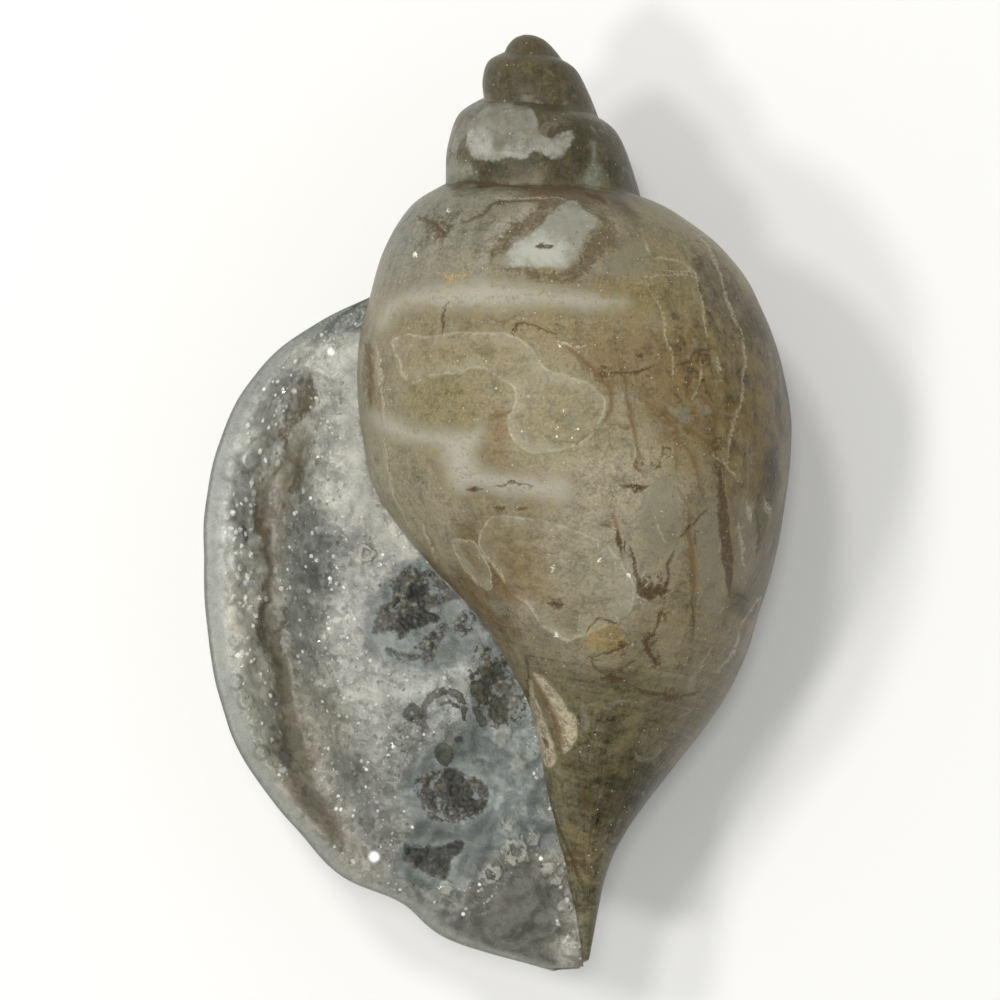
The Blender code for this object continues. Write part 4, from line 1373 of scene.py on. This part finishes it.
class Output:
    """A node's output, which further nodes work on as a number, a place or a colour."""

    def __init__(self, socket):
        self.socket = socket

    def into(self, kind, inputs=(), outputs=(0,), **settings):
        """The outputs of a new node. This one goes into its first input, unless another does."""
        return add_node(self.socket.id_data, kind, {0: self, **dict(inputs)}, outputs, **settings)

    def math(self, operation, *others):
        return self.into("ShaderNodeMath", enumerate(others, 1), operation=operation)

    def vector(self, operation, others=()):
        return self.into("ShaderNodeVectorMath", others, operation=operation)

    def __add__(self, other):
        return self.math("ADD", other)

    def __sub__(self, other):
        return self.math("SUBTRACT", other)

    def __rsub__(self, other):
        return self * -1.0 + other

    def __mul__(self, other):
        return self.math("MULTIPLY", other)

    def __gt__(self, other):
        return self.math("GREATER_THAN", other)

    def __abs__(self):
        return self.math("ABSOLUTE")

    def step(self, low, high, start=0.0, end=1.0):
        """Smoothly from start, where this is at low, to end, where it's at high."""
        marks = enumerate((low, high, start, end), 1)
        return self.into("ShaderNodeMapRange", marks, interpolation_type="SMOOTHSTEP")

    def split(self):
        return self.into("ShaderNodeSeparateXYZ", outputs=(0, 1, 2))

    def scaled(self, scale):
        return self.vector("MULTIPLY", {1: scale})

    def noise(self, scale, detail=3.0, roughness=0.55, distortion=0.0):
        """Noise about 0, within half a unit of it."""
        kind = {"Scale": scale, "Detail": detail, "Roughness": roughness, "Distortion": distortion}
        return self.into("ShaderNodeTexNoise", kind) - 0.5

    def bent(self, scale, by):
        """The place moved about by noise."""
        noises = self.into("ShaderNodeTexNoise", {"Scale": scale}, ("Color",))
        return self.vector("ADD", {1: noises.vector("SUBTRACT", {1: HALVES}).scaled((by, by, by))})

    def cells(self, scale):
        """Distance to the middle of the nearest random cell, and the cell's own three numbers."""
        return self.into("ShaderNodeTexVoronoi", {"Scale": scale}, ("Distance", "Color"))

    def between(self, first, second):
        """The first colour where this number is 0, the second where it's 1, and mixed between."""
        return self.into("ShaderNodeMix", {6: first, 7: second}, (2,), data_type="RGBA")

    def painted(self, colour, share):
        """This colour with another laid over it by the share."""
        return share.between(self, colour)

    def brighter(self, by):
        """The colour times one plus a number."""
        return self.vector("SCALE", {"Scale": by + 1.0})

    def bump(self, distance, strength, **others):
        """The surface's direction when this height is raised by the distance, in metres."""
        kind = {"Strength": strength, "Distance": distance, "Height": self, **others}
        return add_node(self.socket.id_data, "ShaderNodeBump", kind)


class Finish:
    """A material, and what its colours are worked out from."""

    def __init__(self, name):
        self.material = bpy.data.materials.new(name)
        self.material.use_nodes = True
        self.tree = self.material.node_tree

    def stored(self, name, output="Vector"):
        return add_node(self.tree, "ShaderNodeAttribute", outputs=(output,), attribute_name=name)

    def millimetres(self):
        return add_node(self.tree, "ShaderNodeTexCoord", outputs=("Object",)).scaled((1.0 / MM,) * 3)

    def stroke_share(self, name, shake, softness):
        """How much of a thin stroke shows, from its stored distances."""
        middle, edge, half = self.stored(name).split()
        return abs(middle + shake).step(half + softness, half - softness) * edge.step(0.45, 0.2)

    def done(self, values):
        """The material with these values on its shader."""
        for name, value in values.items():
            put(value, self.tree.nodes["Principled BSDF"].inputs[name])
        return self.material


def cast_ground(finish, place, noises):
    """The cast's soft colour with its clouds, mottling and growth lines."""
    clouds, mottle, grain, dust = noises
    _, crumbs, murk = finish.stored("cores").split()
    coil = finish.stored("coil")
    flow = finish.stored("flow")
    neck = coil.split()[2]
    by_wall = flow.split()[0].step(5.5, 0.5)
    cords, growth, wall_lines = (
        vector.scaled(scale).noise(1.0, 4.0, 0.6)
        for vector, scale in ((coil, (0.05, 2.6, 0.0)), (coil, (1.3, 0.05, 0.0)), (flow, (2.2, 0.12, 0.0)))
    )
    shade = (
        clouds * 0.7 + mottle * (murk * 1.1 + 1.45) + grain * 1.25 + dust * 0.7
        + growth * (murk * 1.1 + 0.45) + cords * (neck * 0.9 + 0.25) + wall_lines * (by_wall * 0.7)
    )
    colour = finish.stored("tone", "Color").brighter(shade)
    colour = colour.painted((102, 88, 58), (mottle + clouds * 0.5).step(0.02, 0.22) * 0.36)
    colour = colour.painted((142, 142, 128), place.noise(0.55, 4.0, 0.6, 0.8).step(0.05, 0.2) * 0.34)
    crumbling = (place.noise(2.2, 5.0, 0.7, 0.6) + crumbs * 0.22).step(0.15, 0.27)
    return colour.painted((82, 65, 38), crumbling * (crumbs * 0.6 + 0.24)), cords, neck


def cast_patches(finish, colour, place, noises):
    """Milky, brown, clear, panel-like, broken and white patches laid over the ground."""
    clouds, mottle, grain, _ = noises
    both = grain + mottle
    shake = grain * 1.3 + mottle * 1.5
    window, panel, fold = finish.stored("clear").split()
    milk, brown, white = finish.stored("cloudy").split()
    core = finish.stored("cores").split()[0]
    turns = finish.stored("coil").split()[0]

    in_milk = (milk + shake * 2.2).step(0.8, -0.9)
    colour = colour.painted((169, 166, 150), in_milk * both.step(-0.25, 0.15, 0.5, 0.95))
    in_brown = (brown + shake).step(0.3, -0.45)
    colour = colour.painted((92, 78, 56), in_brown * grain.step(0.3, -0.2, 0.35, 0.85))

    window = window + shake * 0.35
    within = window.step(0.05, -0.3)
    colour = colour.painted((140, 130, 100), within * 0.3)
    colour = colour.brighter(within * (mottle * 0.5 + grain * 0.25))
    glow = window.step(-1.6, -0.1) * window.step(0.1, -0.05)
    colour = colour.painted((162, 160, 142), glow * clouds.step(-0.15, 0.12, 0.05, 0.45))
    edge = abs(window).step(0.16, 0.03)
    colour = colour.painted((178, 173, 148), edge * mottle.step(-0.12, 0.15, 0.08, 0.62))

    panel = panel + shake
    colour = colour.painted((127, 123, 104), panel.step(0.25, -0.6) * both.step(-0.2, 0.2, 0.4, 0.75))
    edge = abs(panel).step(0.16, 0.02)
    colour = colour.painted((168, 162, 138), edge * mottle.step(0.0, 0.2, 0.0, 0.4))
    in_fold = (fold + shake * 0.6).step(0.12, -0.15)
    colour = colour.painted((182, 171, 145), in_fold * both.step(-0.15, 0.12, 0.3, 0.9))

    in_white = (white + shake * 0.45).step(0.1, -0.25) * turns.step(110.0, 121.0, 0.78, 1.0)
    colour = colour.painted((149, 149, 137), in_white * mottle.step(0.2, -0.15, 0.4, 0.9))
    in_core = (core + (mottle * 2.4 + grain * 1.5)).step(0.6, -1.3) * in_white
    colour = colour.painted((178, 179, 168), in_core * 0.85)
    near, cell = place.cells(1.3)
    dots = near.step(0.3, 0.12) * (cell.split()[0] > 0.45) * (in_white * core.step(0.1, 0.5))
    return colour.painted((96, 92, 74), dots * 0.6)


# Strokes of the cast: how soft their edges are, where the grain breaks them, and their colour
STROKES = (
    ("fibre", 0.2, (-0.25, 0.1, 0.3, 0.75), (104, 76, 42)),
    ("dark", 0.11, (-0.2, 0.05, 0.3, 0.9), (76, 58, 30)),
    ("pale", 0.08, (-0.15, 0.12, 0.15, 0.7), (180, 173, 146)),
    ("orange", 0.12, (-0.02, 0.12, 0.1, 0.85), (200, 158, 78)),
)


def cast_lines(finish, colour, place, noises):
    """Brown fibres, dark cracks, pale veins, the orange mark, specks and glints."""
    _, mottle, grain, _ = noises
    shares = {}
    for name, softness, broken, tint in STROKES:
        shares[name] = finish.stroke_share(name, grain * 0.7 + mottle * 0.5, softness)
        colour = colour.painted(tint, shares[name] * grain.step(*broken))
    near, cell = place.cells(1.1)
    colour = colour.painted((70, 54, 34), near.step(0.12, 0.05) * (cell.split()[0] > 0.6) * 0.6)
    spark = (grain * 1.6 + finish.stored("flow").split()[2]).step(0.85, 1.05)
    colour = colour.painted((236, 234, 222), spark * 0.9)
    near, cell = place.cells(1.9)
    glint = near.step(0.15, 0.07) * (cell.split()[1] > 0.8)
    return colour.painted((222, 218, 200), glint * 0.65), shares["dark"]


def cast_finish():
    """Waxy chalcedony: cloudy khaki with clear windows, milky bands, dark cracks and pale veins."""
    finish = Finish("chalcedony")
    place = finish.millimetres()
    clouds = place.noise(0.22, 5.0, 0.6, 0.6)
    mottle = place.noise(0.9, 5.0, 0.65, 0.4)
    grain = place.noise(3.6, 4.0, 0.65)
    dust = place.noise(11.0, 2.0, 0.5)
    noises = (clouds, mottle, grain, dust)
    colour, cords, neck = cast_ground(finish, place, noises)
    colour = cast_patches(finish, colour, place, noises)
    colour, dark = cast_lines(finish, colour, place, noises)
    height = mottle * 0.5 + grain * 0.22 + cords * (neck * 0.6) + dust * 0.08 - dark * 0.3
    return finish.done({
        "Base Color": colour,
        "Roughness": mottle * 0.35 + 0.36,
        "IOR": CHALCEDONY_IOR,
        "Specular IOR Level": 0.15,
        "Subsurface Weight": 0.15,
        "Subsurface Radius": (1.0, 0.85, 0.6),
        "Subsurface Scale": 0.0012,
        "Normal": height.bump(0.00022, 0.8),
    })


def dark_growth(finish, colour, place, mottle, grain):
    """Dark moss of small beads with pale veins, and the smooth brown-grey lobes beside it."""
    gap, lobe, black = finish.stored("growth").split()
    near, cell = place.bent(1.4, 0.35).cells(1.9)
    shake = mottle * 0.35 + grain * 0.3
    gap = gap + shake
    ground = gap.step(0.1, -0.2)
    colour = colour.painted(black.between((74, 75, 65), (34, 37, 28)), ground * 0.88)
    radius = gap.step(0.3, -0.5, 0.12, 0.8)
    bead = near.step(radius, radius - 0.12) * gap.step(0.3, 0.2)
    body = cell.split()[0].math("POWER", 1.6).between((64, 65, 54), (132, 127, 111))
    # Each bead lighter at its middle and darker toward its edge: painted highlight and painted shade; grain
    # roughens it and the blackest places darken it
    body = body.brighter(near.step(0.5, 0.1, -0.55, 0.2) + grain * 0.8).brighter(black * -0.6)
    colour = colour.painted(body, bead * 0.95)
    bare = (place.noise(0.8, 3.0, 0.6, 0.7) + grain * 0.2).step(0.03, 0.12) * ground * black.step(0.5, 0.1)
    colour = colour.painted((122, 130, 128), bare * 0.85)
    lobe = lobe + shake * 1.1
    in_lobe = lobe.step(0.06, -0.06)
    body = black.between((82, 82, 68), (40, 43, 32)).brighter((mottle + grain) * 2.6)
    colour = colour.painted(body, in_lobe * 0.93)
    colour = colour.painted((58, 56, 44), in_lobe * lobe.step(-0.32, -0.06) * 0.6)
    return colour, bead * (0.6 - near), ground.math("MAXIMUM", in_lobe)


def faceted_normal(finish, place, amount):
    """The surface's own direction, tilted a little at random from one small crystal face to the next."""
    _, chance = place.bent(2.0, 0.5).cells(1.6)
    tilt = chance.vector("SUBTRACT", {1: HALVES}).vector("SCALE", {"Scale": amount})
    normal = add_node(finish.tree, "ShaderNodeNewGeometry", outputs=("Normal",))
    return normal.vector("ADD", {1: tilt}).vector("NORMALIZE"), chance.split()[0]


# Glints of the druse: cells to a millimetre, which of a cell's numbers picks it, how rare it is
# from plain to mottled places, how large, colour and strength
GLINTS = (
    (2.1, 0, (-0.1, 0.15, 0.92, 0.6), (0.25, 0.1), (218, 218, 208), 0.5),
    (1.1, 1, (-0.1, 0.12, 0.97, 0.7), (0.27, 0.12), (244, 244, 238), 0.9),
)


def crust_finish():
    """The druse: sugary quartz with white glints, and smooth blue-grey chalcedony between."""
    finish = Finish("druse")
    place = finish.millimetres()
    grains, frost, tip = finish.stored("grains").split()
    mottle = place.noise(1.3, 5.0, 0.65, 0.4)
    grain = place.noise(5.0, 4.0, 0.65)
    normal, chance = faceted_normal(finish, place, grains * 0.42)
    shade = mottle * 0.75 + grain * 0.8 + (chance - 0.5) * (grains * 0.22)
    colour = finish.stored("tone", "Color").brighter(shade)
    for scale, number, rare, size, tint, strength in GLINTS:
        near, cell = place.cells(scale)
        chosen = cell.split()[number] > mottle.step(*rare)
        colour = colour.painted(tint, near.step(*size) * (chosen * frost.step(0.2, 0.6)) * strength)
    speckle = (grain + mottle * 0.6).step(0.06, 0.2) * tip
    colour = colour.painted((170, 174, 166), speckle * 0.6)
    colour, beads, dark = dark_growth(finish, colour, place, mottle, grain)
    return finish.done({
        "Base Color": colour,
        "Roughness": grains * -0.22 + 0.42 + grain * 0.15 + dark * 0.2,
        "IOR": QUARTZ_IOR,
        "Subsurface Weight": 0.45,
        "Subsurface Radius": (1.0, 0.95, 0.85),
        "Subsurface Scale": 0.0011,
        "Normal": (grain + mottle + beads).bump(0.00012, 0.6, Normal=normal),
    })


def quartz_finish():
    """Clear to milky quartz points."""
    finish = Finish("quartz")
    veil = finish.millimetres().noise(2.4, 3.0, 0.6)
    return finish.done({
        "Base Color": finish.stored("tone", "Color").brighter(veil * 0.5),
        "Roughness": 0.12,
        "IOR": QUARTZ_IOR,
        "Transmission Weight": veil.step(0.15, -0.15, 0.0, 0.25),
    })


def floor_finish():
    finish = Finish("pale_floor")
    faint = finish.millimetres().noise(0.02)
    scaled = {0: (0.86, 0.86, 0.85), "Scale": faint * 0.01 + 1.0}
    base = add_node(finish.tree, "ShaderNodeVectorMath", scaled, operation="SCALE")
    return finish.done({"Base Color": base, "Roughness": 0.85, "Specular IOR Level": 0.2})


# The stage

FLOOR_HALF = 3.0


def make_floor():
    mesh = bmesh.new()
    bmesh.ops.create_grid(mesh, x_segments=8, y_segments=8, size=FLOOR_HALF)
    data = bpy.data.meshes.new("floor")
    mesh.to_mesh(data)
    mesh.free()
    data.materials.append(floor_finish())
    floor = add_object("floor", data)


def add_light(name, place, target, size, power, colour=(1.0, 1.0, 1.0)):
    data = bpy.data.lights.new(name, "AREA")
    data.shape = "DISK"
    data.size = size
    data.energy = power
    data.color = colour
    made = add_object(name, data)
    made.location = place
    made.rotation_euler = (Vector(target) - Vector(place)).to_track_quat("-Z", "Y").to_euler()


KEY_PLACES = ((-0.36, 0.16, 0.80), (-0.16, 0.30, 0.86), (-0.38, -0.10, 0.82), (-0.02, 0.06, 0.95))
KEY_SIZE = 0.1
KEY_POWER = 1.75


def make_lights():
    world = bpy.data.worlds.new("studio")
    world.use_nodes = True
    background = world.node_tree.nodes["Background"]
    background.inputs["Color"].default_value = (0.97, 0.985, 1.0, 1.0)
    background.inputs["Strength"].default_value = 0.42
    bpy.context.scene.world = world
    for number, place in enumerate(KEY_PLACES):
        add_light(f"key_{number}", place, (0.0, 0.0, 0.02), KEY_SIZE, KEY_POWER, (1.0, 0.985, 0.955))


def make_camera():
    data = bpy.data.cameras.new("camera")
    data.lens = LENS
    data.sensor_width = SENSOR
    data.clip_start = 0.01
    data.clip_end = 20.0
    camera = add_object("camera", data)
    camera.location = Vector(CAMERA_MM) * MM
    camera.rotation_euler = (0.0, 0.0, CAMERA_TURN)
    bpy.context.scene.camera = camera


def main():
    bpy.context.scene.view_settings.view_transform = "Standard"
    make_camera()
    cast, lip, wall = make_cast(cast_finish())
    crust, grid, facts = make_crust(lip, wall, crust_finish())
    points = make_points(grid, facts, quartz_finish())
    for piece, node, slot in (
        (cast, "shell_cast", "chalcedony"),
        (crust, "quartz_crust", "quartz"),
        (points, "quartz_crust", "quartz"),
    ):
        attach(piece, "root")
        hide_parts(node)
    make_floor()
    make_lights()


main()
